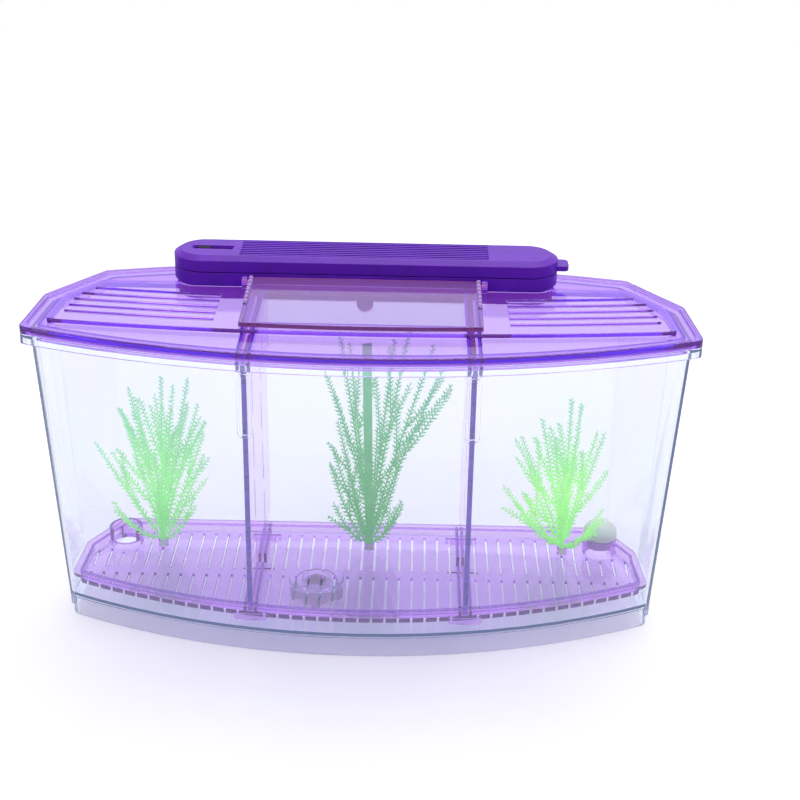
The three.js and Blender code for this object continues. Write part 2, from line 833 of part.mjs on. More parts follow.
// Port cap: a domed plug in the right hose port, with a wire loop to pull it by
function makeCap() {
  const base = plateLevel + portHeight + seat;
  const stemRadius = portRadius - portWall - seat;
  const domeTop = base + capBand + capDome;
  const plug = turned([
    [0, base - capStem], [stemRadius, base - capStem], [stemRadius, base], [portRadius, base],
    ...dome(portRadius, base + capBand, domeTop),
  ], portX, portY, roundSides);
  const loop = new THREE.TorusGeometry(capLoopRadius, capLoopWire, wireSides, smallSides);
  loop.rotateX(Math.PI / 2);
  loop.translate(portX, portY, domeTop);
  return plug.add(solid(loop));
}

// Drain: a flanged sleeve on the floor, its seal, and the winged plug that turns in it from below
const sleeveBottom = plinthHeight - spigotDrop;
const flangeBottom = floorTop + 2 * seat + 2 * sealWire;
const flangeTop = flangeBottom + flangeHeight;

function makeSleeve() {
  return turned([
    [spigotBore, sleeveBottom], [spigotRadius, sleeveBottom], [spigotRadius, flangeBottom],
    [flangeRadius, flangeBottom], [flangeRadius, flangeBottom + flangeHeight / 2],
    [flangeRadius - flangeHeight, flangeTop], [spigotBore, flangeTop], [spigotBore, sleeveBottom],
  ], drainX, drainY);
}

function makePlug() {
  const hubTop = sleeveBottom - seat;
  const hubBottom = hubTop - wingHeight;
  const stemRadius = spigotBore - seat;
  const hub = turned([
    [0, hubBottom], [hubRadius, hubBottom], [hubRadius, hubTop], [stemRadius, hubTop],
    ...dome(stemRadius, flangeTop - stemRadius / 2, flangeTop + knobDomeRise),
  ], drainX, drainY, roundSides);
  const wings = [[wingLength, wingWidth], [wingWidth, crossWingLength]].map(([length, width]) => prism(
    roundedRectangle(
      drainX - length / 2, drainX + length / 2, drainY - width / 2, drainY + width / 2, wingWidth / 2,
    ),
    hubBottom, hubTop - seat,
  ));
  return join([hub, ...wings]);
}

function makeSeal() {
  const ring = new THREE.TorusGeometry(sealRadius, sealWire, wireSides, wideSides);
  ring.translate(drainX, drainY, floorTop + seat + sealWire);
  return solid(ring);
}

// Lid: a beaded plate with a raised deck, a skirt inside the tank, vents, the hatch and the light's well
function deckOutline(depth) {
  const behind = clipBehind(inset(rimPlan, deckInset + depth), deckBackY - depth);
  const cornerX = rimHalfWidth - deckInset - depth;
  const front = Array.from({ length: frontArcSteps + 1 }, (_, step) => {
    const share = (2 * step) / frontArcSteps - 1;
    return new THREE.Vector2(share * cornerX, deckFrontY + depth + deckFrontBow * share ** 2);
  });
  return rounded([...front, ...behind.slice(frontArcSteps + 1)], rimCorner);
}

function ventOutline(side, count) {
  const deckCorner = rimHalfWidth - deckInset;
  const offset = ventFirst + count * ventPitch;
  const arcY = (x) => deckFrontY + deckFrontBow * (x / deckCorner) ** 2 + offset;
  const limit = crossingsAlongX(deckOutline(0), arcY(deckCorner - ventMargin)) - ventMargin;
  const half = ventWidth / 2;
  const lower = Array.from({ length: ventSteps + 1 }, (_, step) => {
    const x = THREE.MathUtils.lerp(ventInnerX, limit, step / ventSteps);
    return new THREE.Vector2(x, arcY(x) - half);
  });
  const upper = lower.map((point) => new THREE.Vector2(point.x, point.y + ventWidth)).reverse();
  const points = [...lower, ...upper];
  return side > 0 ? points : points.map((point) => new THREE.Vector2(-point.x, point.y)).reverse();
}

function crossingsAlongX(outline, y) {
  return Math.max(...outline.flatMap((point, index) => {
    const next = outline[(index + 1) % outline.length];
    if ((point.y <= y) === (next.y <= y)) return [];
    return [THREE.MathUtils.mapLinear(y, point.y, next.y, point.x, next.x)];
  }));
}

function makeLid() {
  const plate = prism(rimInset(0), plateBottom, plateTop);
  const bead = prism(rimInset(0), lidBottom, plateTop + beadRise)
    .subtract(prism(rimInset(beadWidth), lidBottom - overrun, plateTop + beadRise + overrun));
  const deck = prism(deckOutline(0), plateBottom, deckTop);
  const recess = prism(deckOutline(deckWall), plateBottom - overrun, deckTop - lidPlate);
  const skirtDepthIn = lipOverhang + wall + skirtPlay;
  const skirt = prism(rimInset(skirtDepthIn), skirtBottom, plateTop - lidPlate / 2)
    .subtract(prism(rimInset(skirtDepthIn + skirtThickness), skirtBottom - overrun, plateTop + overrun));
  const ribInner = dividerThickness / 2 + dividerPlay;
  const ribs = sides.flatMap((side) => sides.map((face) => {
    const x0 = side * dividerX + (face > 0 ? ribInner : -ribInner - channelRib);
    return box(x0, x0 + channelRib, frontEdgeY, channelBackY, dividerTop - channelGrip, deckTop);
  }));
  const insideSkirt = rimInset(skirtDepthIn + skirtThickness / 2);
  const ribSpace = prism(insideSkirt, skirtBottom - lipHeight, plateTop - lidPlate / 2)
    .add(prism(deckOutline(deckWall / 2), plateBottom, deckTop - lidPlate / 2));
  const hatch = prism(
    roundedRectangle(-hatchHalfWidth, hatchHalfWidth, hatchFrontY, hatchBackY, toothRadius),
    lidBottom - overrun, deckTop + overrun,
  );
  const well = prism(
    stadium(wellHalfLength + wellPlay, wellHalfDepth + wellPlay, wellY),
    lidBottom - overrun, deckTop + overrun,
  );
  const vents = sides.flatMap((side) => Array.from({ length: ventsEachSide }, (_, count) => (
    prism(ventOutline(side, count), plateBottom - overrun, deckTop + overrun)
  )));
  const ears = sides.map((side) => {
    const inner = flapHalfWidth + earPlay;
    const x0 = side > 0 ? inner : -inner - earThickness;
    const block = box(x0, x0 + earThickness, pinY - earHalfDepth, pinY + earHalfDepth, deckTop - seat, pinZ)
      .add(rod(earHalfDepth, x0, x0 + earThickness, pinY, pinZ));
    return block.subtract(rod(pinRadius + pinPlay, x0 - overrun, x0 + earThickness + overrun, pinY, pinZ));
  });
  return join([plate, bead, deck, skirt]).subtract(recess).add(join(ribs).intersect(ribSpace))
    .subtract(join([hatch, well, ...vents])).add(join(ears));
}

// Flap: a sloping plate on cheeks that stand on the deck, hinged at its back corners
function makeFlap() {
  const run = pinY - flapFrontY;
  const slope = flapRise / run;
  const topAt = (y) => flapBottom + flapThickness + (y - flapFrontY) * slope;
  const side = [
    [flapFrontY, flapBottom], [pinY - earHalfDepth, flapBottom], [pinY, pinZ - earHalfDepth / 2],
    [flapBackY, pinZ - earHalfDepth / 3], [flapBackY, topAt(pinY)], [flapFrontY, flapBottom + flapThickness],
  ].map(([y, z]) => new THREE.Vector2(y, z));
  const under = [
    [flapFrontY + flapCheek, flapBottom - overrun], [flapBackY + overrun, flapBottom - overrun],
    [flapBackY + overrun, topAt(flapBackY) - flapThickness], [flapFrontY + flapCheek, flapBottom],
  ].map(([y, z]) => new THREE.Vector2(y, z));
  const bowed = Array.from({ length: flapBowSteps + 1 }, (_, step) => {
    const share = (2 * step) / flapBowSteps - 1;
    return new THREE.Vector2(share * flapHalfWidth, flapFrontY + flapBow * share ** 2);
  });
  const outline = prism([
    ...bowed, new THREE.Vector2(flapHalfWidth, flapBackY), new THREE.Vector2(-flapHalfWidth, flapBackY),
  ], flapBottom - overrun, coverTop);
  const body = prismAlongX(side, -flapHalfWidth, flapHalfWidth).intersect(outline)
    .subtract(prismAlongX(under, -flapHalfWidth + flapCheek, flapHalfWidth - flapCheek));
  const pinReach = flapHalfWidth + pinLength;
  const pins = rod(pinRadius, -pinReach, pinReach, pinY, pinZ, pinSides)
    .subtract(box(
      -flapHalfWidth + flapCheek, flapHalfWidth - flapCheek, pinY - earHalfDepth, pinY + earHalfDepth,
      flapBottom, coverTop,
    ));
  const teeth = sides.flatMap((end) => Array.from({ length: teethEachSide }, (_, count) => {
    const y = flapBackY - toothPitch * (count + 1);
    const x0 = end > 0 ? flapHalfWidth - flapCheek : -flapHalfWidth;
    return rod(toothRadius, x0, x0 + flapCheek, y, topAt(y), toothSides);
  }));
  return join([body, pins, ...teeth]);
}

// The bar's outline, moved inward
function barOutline(depth) {
  return stadium(barHalfLength - depth, barHalfDepth - depth, barY);
}

// Light case: a shouldered tub whose lower part drops through the lid
function makeCase() {
  const shoulder = caseBottom + barWall;
  const upper = prism(barOutline(0), caseBottom, caseTop);
  const lower = prism(stadium(wellHalfLength, wellHalfDepth, wellY), wellBottom, caseBottom + barWall / 2);
  const upperSpace = prism(barOutline(barWall), shoulder, caseTop + overrun);
  const lowerSpace = prism(
    stadium(wellHalfLength - barWall, wellHalfDepth - barWall, wellY),
    wellBottom + wellFloor, shoulder + overrun,
  );
  const rabbet = lensOutlineBox(seat, wellBottom - overrun, wellBottom + lensThickness + seat);
  const window = lensOutlineBox(-lensLedge, wellBottom - overrun, wellBottom + wellFloor + overrun);
  const tongue = new THREE.Shape();
  tongue.absarc(0, 0, tongueRadius, Math.PI, 2 * Math.PI);
  const tonguePoints = tongue.getPoints(halfRoundSteps).map((point) => (
    new THREE.Vector2(point.x, point.y + wellBottom - tongueDrop)
  ));
  const tongueTop = [
    new THREE.Vector2(tongueRadius, wellBottom + wellFloor / 2),
    new THREE.Vector2(-tongueRadius, wellBottom + wellFloor / 2),
  ];
  const wellFrontY = wellY - wellHalfDepth;
  const catchTongue = prismAlongY(
    [...tonguePoints, ...tongueTop], wellFrontY, wellFrontY + tongueThickness,
  );
  const inside = wellHalfDepth - barWall / 2;
  const bridges = sides.map((side) => box(
    side * screwX - bridgeLength / 2, side * screwX + bridgeLength / 2, wellY - inside, wellY + inside,
    bridgeBottom, bridgeTop,
  ).subtract(screwHole(side, bridgeBottom, bridgeTop)));
  const bulkheads = [contactLeftX - bulkhead - seat, contactRightX + contactThickness + seat].map((x0) => box(
    x0, x0 + bulkhead, wellY - inside, wellY + inside, bridgeBottom, bulkheadTop,
  ));
  const cradles = [0, 1].flatMap((cell) => [cradleInset, cellLength - cradleInset].flatMap((along) => (
    sides.map((side) => {
      const x = cellX(cell) + along;
      const edge = wellY + side * inside;
      const reach = wellY + side * (wellHalfDepth - barWall - cradleReach);
      return box(
        x - cradleWidth / 2, x + cradleWidth / 2, Math.min(edge, reach), Math.max(edge, reach),
        bridgeBottom, bulkheadTop,
      );
    })
  )));
  const cellSpace = rod(cellRadius + seat, contactLeftX, contactRightX, wellY, cellZ, wideSides);
  return join([upper, lower]).subtract(upperSpace).subtract(lowerSpace).subtract(rabbet).subtract(window)
    .add(join([catchTongue, ...bridges, ...bulkheads, ...cradles.map((rib) => rib.subtract(cellSpace))]));
}

function lensOutlineBox(grow, z0, z1) {
  const halfLength = lensLength / 2 + grow;
  const half = lensWidth / 2 + grow;
  return box(-halfLength, halfLength, wellY - half, wellY + half, z0, z1);
}

function screwHole(side, z0, z1) {
  const radius = screwShankRadius + seat / 2;
  return disc(radius, z0 - overrun, z1 + overrun, side * screwX, wellY, pinSides);
}

function makeLens() {
  return prism(roundedRectangle(
    -lensLength / 2, lensLength / 2, wellY - lensWidth / 2, wellY + lensWidth / 2, screwHeadRadius,
  ), wellBottom, wellBottom + lensThickness);
}

// Cover: a bevelled shell with grip ridges, the switch slot and the tab that it is pried off by
function makeCover() {
  const bevelStart = coverTop - coverBevelDrop;
  const shell = loft([
    level(barOutline(0), coverBottom),
    level(barOutline(0), bevelStart),
    level(barOutline(coverBevel), coverTop),
  ]).subtract(loft([
    level(barOutline(coverWall), coverBottom - overrun),
    level(barOutline(coverWall), bevelStart - coverWall / 2),
    level(barOutline(coverBevel + coverWall), coverTop - coverWall),
  ]));
  const tongueOuter = barWall + seat;
  const tongueBottom = caseTop - coverTongue;
  const shelfTop = coverBottom + coverWall;
  const tongueSpace = prism(
    barOutline(tongueOuter + coverTongueThickness), tongueBottom - overrun, coverTop,
  );
  const tongueRing = prism(barOutline(tongueOuter), tongueBottom, shelfTop).subtract(tongueSpace);
  const tongueShelf = prism(barOutline(coverWall / 2), coverBottom, shelfTop).subtract(tongueSpace);
  const ridges = Array.from({ length: ridgeCount }, (_, count) => {
    const y = barY + (count - (ridgeCount - 1) / 2) * ridgePitch;
    return box(
      ridgeStartX, ridgeEndX, y - ridgeWidth / 2, y + ridgeWidth / 2, coverTop - ridgeHeight, coverTop,
    );
  });
  const grooveBed = box(
    ridgeStartX, ridgeEndX, barY - (ridgeCount * ridgePitch) / 2, barY + (ridgeCount * ridgePitch) / 2,
    coverTop - ridgeHeight, coverTop + overrun,
  );
  const pryBase = barHalfLength - coverWall / 2;
  const pryOutline = roundedRectangle(
    pryBase - pryHalfWidth, barHalfLength + pryReach, barY - pryHalfWidth, barY + pryHalfWidth,
    pryHalfWidth / 2,
  );
  const pry = prism(pryOutline, coverBottom + pryRise, coverBottom + pryRise + pryHeight)
    .subtract(prism(barOutline(coverWall), coverBottom, coverTop));
  const recess = prism(slotOutline(switchRecess), coverTop - switchRecess, coverTop + overrun);
  const slot = prism(slotOutline(0), coverBottom, coverTop + overrun);
  return join([shell, tongueRing, tongueShelf, pry]).subtract(grooveBed).add(join(ridges))
    .subtract(recess).subtract(slot);
}

function slotOutline(grow) {
  const halfLength = switchSlotLength / 2 + grow;
  const half = switchSlotWidth / 2 + grow;
  return roundedRectangle(
    switchSlotX - halfLength, switchSlotX + halfLength, barY - half, barY + half,
    half / 2, plainCornerSteps,
  );
}

// Board, lamps and screws, which go in from below
function makeBoard() {
  const board = box(
    -boardLength / 2, boardLength / 2, wellY - boardWidth / 2, wellY + boardWidth / 2,
    boardBottom, boardBottom + boardThickness,
  );
  const holes = sides.map((side) => screwHole(side, boardBottom, boardBottom + boardThickness));
  return board.subtract(join(holes));
}

function makeLed(index) {
  const x = (index - (ledCount - 1) / 2) * ledPitch;
  const top = boardBottom - seat;
  const bottom = top - ledHeight;
  const body = box(
    x - ledLength / 2, x + ledLength / 2, wellY - ledWidth / 2, wellY + ledWidth / 2, bottom, top,
  );
  return body.subtract(disc(ledWidth / 3, bottom - overrun, bottom + seat, x, wellY, smallSides));
}

function makeScrew(side) {
  const seatZ = boardBottom - seat;
  return turned([
    [0, seatZ - screwHeadHeight], [screwHeadRadius, seatZ - screwHeadHeight], [screwHeadRadius, seatZ],
    [screwShankRadius, seatZ], [screwShankRadius, seatZ + screwShankLength], [0, seatZ + screwShankLength],
  ], side * screwX, wellY, smallSides);
}

// Two cells in line between a spring and a contact plate
function makeCell(index) {
  const x0 = cellX(index);
  const x1 = x0 + cellLength;
  return rod(cellRadius, x0, x1, wellY, cellZ, wideSides)
    .add(rod(cellNubRadius, x1 - overrun, x1 + cellNubLength, wellY, cellZ, smallSides));
}

function contactPlate(x) {
  return box(
    x, x + contactThickness, wellY - contactWidth / 2, wellY + contactWidth / 2,
    cellZ - contactHeight / 2, cellZ + contactHeight / 2,
  );
}

function makeSpring() {
  const steps = springCurls * springStepsPerCurl;
  const points = Array.from({ length: steps + 1 }, (_, step) => {
    const angle = (step / springStepsPerCurl) * 2 * Math.PI;
    const x = contactLeftX + contactThickness / 2 + (step / steps) * springLength;
    const y = wellY + springRadius * Math.cos(angle);
    return new THREE.Vector3(x, y, cellZ + springRadius * Math.sin(angle));
  });
  const circle = new THREE.Shape();
  circle.absarc(0, 0, springWire, 0, 2 * Math.PI);
  const section = new THREE.Shape(circle.getPoints(springSides).slice(0, -1));
  const wire = new THREE.ExtrudeGeometry(section, {
    steps, bevelEnabled: false, extrudePath: new THREE.CatmullRomCurve3(points),
  });
  return solid(wire).add(contactPlate(contactLeftX));
}

// Switch: a body that is held under the cover, with a pocket that the knob's foot slides in
const knobFootTop = coverTop - coverWall - seat;

function slideSpace(length, width, z0, z1) {
  const halfLength = (length + knobTravel) / 2 + seat;
  const half = width / 2 + seat;
  return box(switchSlotX - halfLength, switchSlotX + halfLength, barY - half, barY + half, z0, z1);
}

function makeSwitchBody() {
  const halfLength = (knobFootLength + knobTravel) / 2 + seat + switchBodyWall;
  const pocketFloor = knobFootTop - knobFootHeight - seat;
  const bottom = knobFootTop - switchBodyHeight;
  const half = switchBodyWidth / 2;
  const body = box(
    switchSlotX - halfLength, switchSlotX + halfLength, barY - half, barY + half, bottom, knobFootTop,
  );
  return body
    .subtract(slideSpace(knobFootLength, knobFootWidth, pocketFloor, knobFootTop + overrun))
    .subtract(slideSpace(knobLeverLength, knobLeverWidth, bottom + switchBodyWall, knobFootTop + overrun));
}

function makeKnob() {
  const x = switchSlotX - knobTravel / 2;
  const block = (length, width, z0, z1) => box(
    x - length / 2, x + length / 2, barY - width / 2, barY + width / 2, z0, z1,
  );
  const grip = block(knobLength, knobWidth, knobFootTop - knobFootHeight / 2, coverTop);
  const foot = block(knobFootLength, knobFootWidth, knobFootTop - knobFootHeight, knobFootTop);
  const lever = block(
    knobLeverLength, knobLeverWidth, knobFootTop - switchBodyHeight + switchBodyWall + seat, knobFootTop,
  );
  const notch = rod(seat, x - knobLength, x + knobLength, barY, coverTop, notchSides);
  return join([grip, foot, lever]).subtract(notch);
}

place('tank', makeTank(), clearPlastic);
place('divider_left', makeDivider(-1), clearPlastic);
place('divider_right', makeDivider(1), clearPlastic);
place('tray', makeTray(), purplePlastic);
for (const plant of plantTable) place(plant.name, makePlant(plant), material(plant.colour, 0.5));
place('port_cap', makeCap(), whitePlastic);
place('drain_sleeve', makeSleeve(), clearPlastic);
place('drain_plug', makePlug(), greyPlastic);
place('drain_seal', makeSeal(), rubber);
place('lid', makeLid(), purplePlastic);
place('feeding_flap', makeFlap(), purplePlastic);

place('light_case', makeCase(), barPlastic);
place('light_cover', makeCover(), barPlastic);
place('light_lens', makeLens(), clearPlastic);
place('led_board', makeBoard(), boardGreen);
for (let index = 0; index < ledCount; index += 1) place(`led_${index + 1}`, makeLed(index), whitePlastic);
place('board_screw_left', makeScrew(-1), steel);
place('board_screw_right', makeScrew(1), steel);
place('battery_1', makeCell(0), cellPaint);
place('battery_2', makeCell(1), cellPaint);
place('contact_spring', makeSpring(), steel);
place('contact_plate', contactPlate(contactRightX), steel);
place('switch_body', makeSwitchBody(), blackPlastic);
place('switch_knob', makeKnob(), blackPlastic);

export default group;
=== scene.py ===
"""Dresses a desktop fish breeding box: a clear tank, a purple grating with plastic plants, a purple lid with
a feeding flap, and a battery light bar. It is laid out as an add-on and run as a script."""

import json
import math
import random

import bmesh
import bpy
from bpy.props import FloatProperty, FloatVectorProperty, PointerProperty
from mathutils import Matrix, Vector


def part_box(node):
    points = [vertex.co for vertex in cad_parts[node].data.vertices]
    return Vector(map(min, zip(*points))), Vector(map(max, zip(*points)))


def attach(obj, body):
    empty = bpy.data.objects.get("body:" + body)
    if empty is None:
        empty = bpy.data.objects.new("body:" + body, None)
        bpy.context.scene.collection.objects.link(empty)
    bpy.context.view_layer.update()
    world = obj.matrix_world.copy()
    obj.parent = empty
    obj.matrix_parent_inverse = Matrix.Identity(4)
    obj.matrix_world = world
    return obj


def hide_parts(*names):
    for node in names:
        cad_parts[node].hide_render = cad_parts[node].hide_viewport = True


bl_info = {
    "name": "Fish Breeding Box",
    "version": (1, 0, 0),
    "blender": (4, 5, 0),
    "location": "View3D > Sidebar > Breeding Box",
    "description": "Builds the finished look of a desktop fish breeding box around its solid parts",
    "category": "Object",
}

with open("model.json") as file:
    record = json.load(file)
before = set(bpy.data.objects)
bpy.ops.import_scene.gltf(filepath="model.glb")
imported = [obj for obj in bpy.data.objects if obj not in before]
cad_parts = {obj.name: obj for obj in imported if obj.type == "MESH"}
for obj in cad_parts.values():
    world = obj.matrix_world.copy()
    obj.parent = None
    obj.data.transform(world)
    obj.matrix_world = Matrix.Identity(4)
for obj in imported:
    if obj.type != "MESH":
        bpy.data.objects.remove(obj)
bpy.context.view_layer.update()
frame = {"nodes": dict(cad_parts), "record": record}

MM = 0.001
FULL_TURN = 2 * math.pi
RIGHT_ANGLE = math.radians(90)

# Meshes: how close vertices are joined, and how far faces turn where they are flat, sharp or soft
WELD = 0.004 * MM
FLAT_TURN = math.radians(0.4)
SHARP_TURN = math.radians(28)
SOFT_COSINE = math.cos(math.radians(50))
LATHE_STEPS = 64
SCREW_STEPS = 24
LATHE_CORNER = math.radians(50)

# Rounded edges: the share of the room beside them that they take, and the share under which they stay crisp
CORNER_COSINE = math.cos(math.radians(30))
ROOM_SHARE = 0.36
LEAST_SHARE = 0.12

# Finishes: the range that most noise lies in, the least share of a tint, what a wall lets through of the
# lamps' light, and the leaves' painted glow: an even emission, as a share of their colour
NOISE_LOW, NOISE_HIGH = 0.3, 0.7
LEAST_TINT = 0.002
LAMPLIGHT_SHARE = 0.97
LEAF_PAINTED_GLOW = 0.42

# Camera: place in metres, turns in radians, lens and sensor in millimetres
CAMERA_PLACE = (0.01678, -0.48165, 0.31097)
CAMERA_YAW, CAMERA_PITCH, CAMERA_ROLL = -0.0029, 0.4219, 0.02
CAMERA_SHIFT = (-0.00793, -0.0409)
LENS, SENSOR = 67.04, 36
NEAR, FAR = 0.01, 50

# Stage: how many walls light may pass, lengths in metres, and light as shares of white
WALLS_IN_LINE = 40
LAMP_AIM = Vector((0, 0, 0.06))
TABLE_HALF_WIDTH = 6
TABLE_GLOW, TABLE_GLOW_WITHIN = 0.41, 0.13
FADE_START, FADE_END = 0.4, 1.1
WORLD_LIGHT = 0.44
CEILING_START, CEILING_END, CEILING_SHADE = 0.5, 0.92, 0.6


def linear(code):
    """An sRGB hex colour as linear red, green and blue."""
    shares = [int(code[start:start + 2], 16) / 255 for start in (1, 3, 5)]
    return tuple(c / 12.92 if c <= 0.04045 else ((c + 0.055) / 1.055) ** 2.4 for c in shares)


def colour_property(name, description, code):
    """A colour that the panel shows, from its sRGB hex value."""
    return FloatVectorProperty(
        name=name, description=description, subtype="COLOR", size=3, min=0, max=1, default=linear(code)
    )


def length_property(name, description, millimetres):
    """A length that the panel shows, from millimetres."""
    return FloatProperty(
        name=name, description=description, default=millimetres * MM, unit="LENGTH", precision=5
    )


class BreedingBoxFinishes(bpy.types.PropertyGroup):
    """Colours of the plastics: tints are what is left of white light behind a wall, glows are painted edge
    light, an even emission from each wall
    """

    clear_tint: colour_property("Clear wall", "Light left behind a long run of clear plastic", "#BCC9EA")
    clear_run: length_property("Clear run", "Run of clear plastic that gives that tint", 40)
    divider_tint: colour_property("Dividers", "Light left behind one divider", "#E9E1FA")
    divider_run: length_property("Divider run", "Run of the dividers' plastic that gives that tint", 1.9)
    lid_tint: colour_property("Lid", "Light left behind one wall of the lid", "#CEBAFB")
    lid_run: length_property("Lid run", "Run of purple plastic that gives that tint", 2.0)
    flap_tint: colour_property("Flap", "Light left behind one wall of the flap", "#B4B0EE")
    tray_tint: colour_property("Tray", "Light left behind one wall of the tray", "#D4B8F0")
    tray_run: length_property("Tray run", "Run of the tray's plastic that gives that tint", 1.6)
    bar_colour: colour_property("Light bar", "Colour of the light bar's shells", "#7206D2")
    # Edge lights are painted light: an even emission from every wall of the plastic, which gathers in its
    # edges
    lid_painted_glow: colour_property("Lid edge light", "Light that gathers in the lid's edges", "#420A3A")
    flap_painted_glow: colour_property("Flap edge light", "Light that gathers in the flap's edges", "#4A0828")
    tray_painted_glow: colour_property("Tray edge light", "Light that gathers in the tray's edges", "#3C1A36")
    divider_painted_glow: colour_property("Divider edge light", "Light that gathers in dividers' edges", "#452A42")
    clear_painted_glow: colour_property("Clear edge light", "Light that gathers in clear edges", "#2A303F")
    leaf_pale: colour_property("Left plant", "Leaves of the left plant", "#C8F2C0")
    leaf_deep: colour_property("Centre plant", "Leaves of the centre plant", "#9CD6A6")
    leaf_yellow: colour_property("Right plant", "Leaves of the right plant", "#D0F8B4")
    leaf_tip: colour_property("Leaf tips", "Blue-green that the tips fade to", "#B2E6CC")


class BreedingBoxSizes(bpy.types.PropertyGroup):
    """Small sizes that the moulds and the leaves have"""

    edge_radius: length_property("Edge radius", "Rounding of the moulded edges", 0.22)
    thin_radius: length_property("Thin edge radius", "Rounding of the edges of thin ribs and slots", 0.12)
    lid_radius: length_property("Lid edge radius", "Rounding of the lid's outer edges", 0.85)
    leaflet_length: length_property("Leaflet length", "Length of one leaflet near the root", 2.3)
    leaflet_pitch: length_property("Leaflet pitch", "Distance between pairs of leaflets", 1.9)


def finishes():
    return bpy.context.scene.breeding_box_finishes


def sizes():
    return bpy.context.scene.breeding_box_sizes


# Materials
def add_node(tree, kind, settings=None, links=None):
    """Adds one node, sets its properties and sockets, and links its inputs."""
    node = tree.nodes.new(kind)
    for key, value in (settings or {}).items():
        if isinstance(key, int) or key in node.inputs:
            node.inputs[key].default_value = value
        else:
            setattr(node, key, value)
    for key, socket in (links or {}).items():
        tree.links.new(socket, node.inputs[key])
    return node


def new_material(name):
    """An empty material with its node tree and output."""
    material = bpy.data.materials.new(name)
    material.use_nodes = True
    material.node_tree.nodes.clear()
    output = add_node(material.node_tree, "ShaderNodeOutputMaterial")
    return material, material.node_tree, output


def object_noise(tree, period, detail=3.0):
    """Noise on the piece's own coordinates, whose blobs are one period wide."""
    place = add_node(tree, "ShaderNodeTexCoord").outputs["Object"]
    return add_node(
        tree,
        "ShaderNodeTexNoise",
        {"Scale": 1 / period, "Detail": detail, "Roughness": 0.55},
        {"Vector": place},
    ).outputs["Fac"]


def spread(tree, value, low, high):
    """A noise value mapped to a range."""
    return add_node(
        tree,
        "ShaderNodeMapRange",
        {"From Min": NOISE_LOW, "From Max": NOISE_HIGH, "To Min": low, "To Max": high},
        {"Value": value},
    ).outputs["Result"]


def rgba(colour):
    return (*colour, 1.0)


WHITE = rgba(linear("#FFFFFF"))


def absorption(tint, run):
    """Colour and density of a volume that leaves the tint of white light after that run."""
    loss = [-math.log(max(share, LEAST_TINT)) / run for share in tint]
    density = max(loss)
    return tuple(1 - part / density for part in loss), density


def tinted_clear(name, tint, run, ior, smooth, dull, ripple, haze, glow):
    """Moulded see-through plastic: glossy, slightly rippled, and deeper in colour along its edges, where
    light runs further through it. Its haze is the share that it scatters, and its glow is painted light: an
    even emission at each wall, which gathers in the edges. Lamps shine through it, as through thin walls."""
    material, tree, output = new_material(name)
    grain = object_noise(tree, 3 * MM)
    swell = object_noise(tree, 14 * MM, 1.0)
    bump = add_node(
        tree, "ShaderNodeBump", {"Strength": 1.0, "Distance": ripple}, {"Height": swell}
    ).outputs["Normal"]
    # The emission is painted light: an even glow from every wall, which gathers in the edges as painted edge
    # light
    shell = add_node(
        tree,
        "ShaderNodeBsdfPrincipled",
        {"Base Color": WHITE, "Transmission Weight": 1 - haze, "IOR": ior,
         "Emission Color": rgba(glow), "Emission Strength": 1.0},
        {"Roughness": spread(tree, grain, smooth, dull), "Normal": bump},
    )
    path = add_node(tree, "ShaderNodeLightPath")
    lamplight = add_node(
        tree,
        "ShaderNodeMath",
        {"operation": "MAXIMUM"},
        {0: path.outputs["Is Shadow Ray"], 1: path.outputs["Is Diffuse Ray"]},
    ).outputs["Value"]
    passing = add_node(tree, "ShaderNodeBsdfTransparent", {"Color": rgba((LAMPLIGHT_SHARE,) * 3)})
    both = add_node(
        tree,
        "ShaderNodeMixShader",
        {},
        {"Fac": lamplight, 1: shell.outputs["BSDF"], 2: passing.outputs["BSDF"]},
    )
    colour, density = absorption(tint, run)
    depth = add_node(tree, "ShaderNodeVolumeAbsorption", {"Color": rgba(colour), "Density": density})
    tree.links.new(both.outputs["Shader"], output.inputs["Surface"])
    tree.links.new(depth.outputs["Volume"], output.inputs["Volume"])
    return material


def grained(name, colours, roughness, mottle, grain, strength, relief, sockets):
    """An opaque surface mottled between two colours, with a fine grain that its roughness follows."""
    material, tree, output = new_material(name)
    patches = object_noise(tree, mottle)
    fine = object_noise(tree, grain, 2.0)
    light, dark = colours
    tone = add_node(
        tree,
        "ShaderNodeMix",
        {"data_type": "RGBA", 6: rgba(light), 7: rgba(dark)},
        {0: spread(tree, patches, 0.0, 1.0)},
    ).outputs[2]
    bump = add_node(
        tree, "ShaderNodeBump", {"Strength": strength, "Distance": relief}, {"Height": fine}
    ).outputs["Normal"]
    shell = add_node(
        tree,
        "ShaderNodeBsdfPrincipled",
        sockets,
        {"Base Color": tone, "Roughness": spread(tree, fine, *roughness), "Normal": bump},
    )
    tree.links.new(shell.outputs["BSDF"], output.inputs["Surface"])
    return material


def moulded(name, colour, dark, smooth, dull, grain=0.6 * MM, ior=1.52, **sockets):
    """Opaque moulded plastic with a fine spark-eroded grain and faint mottling."""
    return grained(
        name, (colour, dark), (smooth, dull), 9 * MM, grain, 0.25, 0.03 * MM, {"IOR": ior, **sockets}
    )


def plated(name, bright, dull_colour, smooth, dull):
    """Plated metal: bright, with faint drawing marks and slightly uneven tone."""
    return grained(
        name, (bright, dull_colour), (smooth, dull), 2.5 * MM, 0.25 * MM, 0.2, 0.01 * MM, {"Metallic": 1.0}
    )


# Pieces
def new_piece(name, bm, body, material):
    """A shaded object made of a bmesh, which rides on a body."""
    mesh = bpy.data.meshes.new(name)
    bm.to_mesh(mesh)
    bm.free()
    mesh.shade_smooth()
    mesh.set_sharp_from_angle(angle=SHARP_TURN)
    piece = bpy.data.objects.new(name, mesh)
    bpy.context.scene.collection.objects.link(piece)
    mesh.materials.append(material)
    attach(piece, body)
    return piece


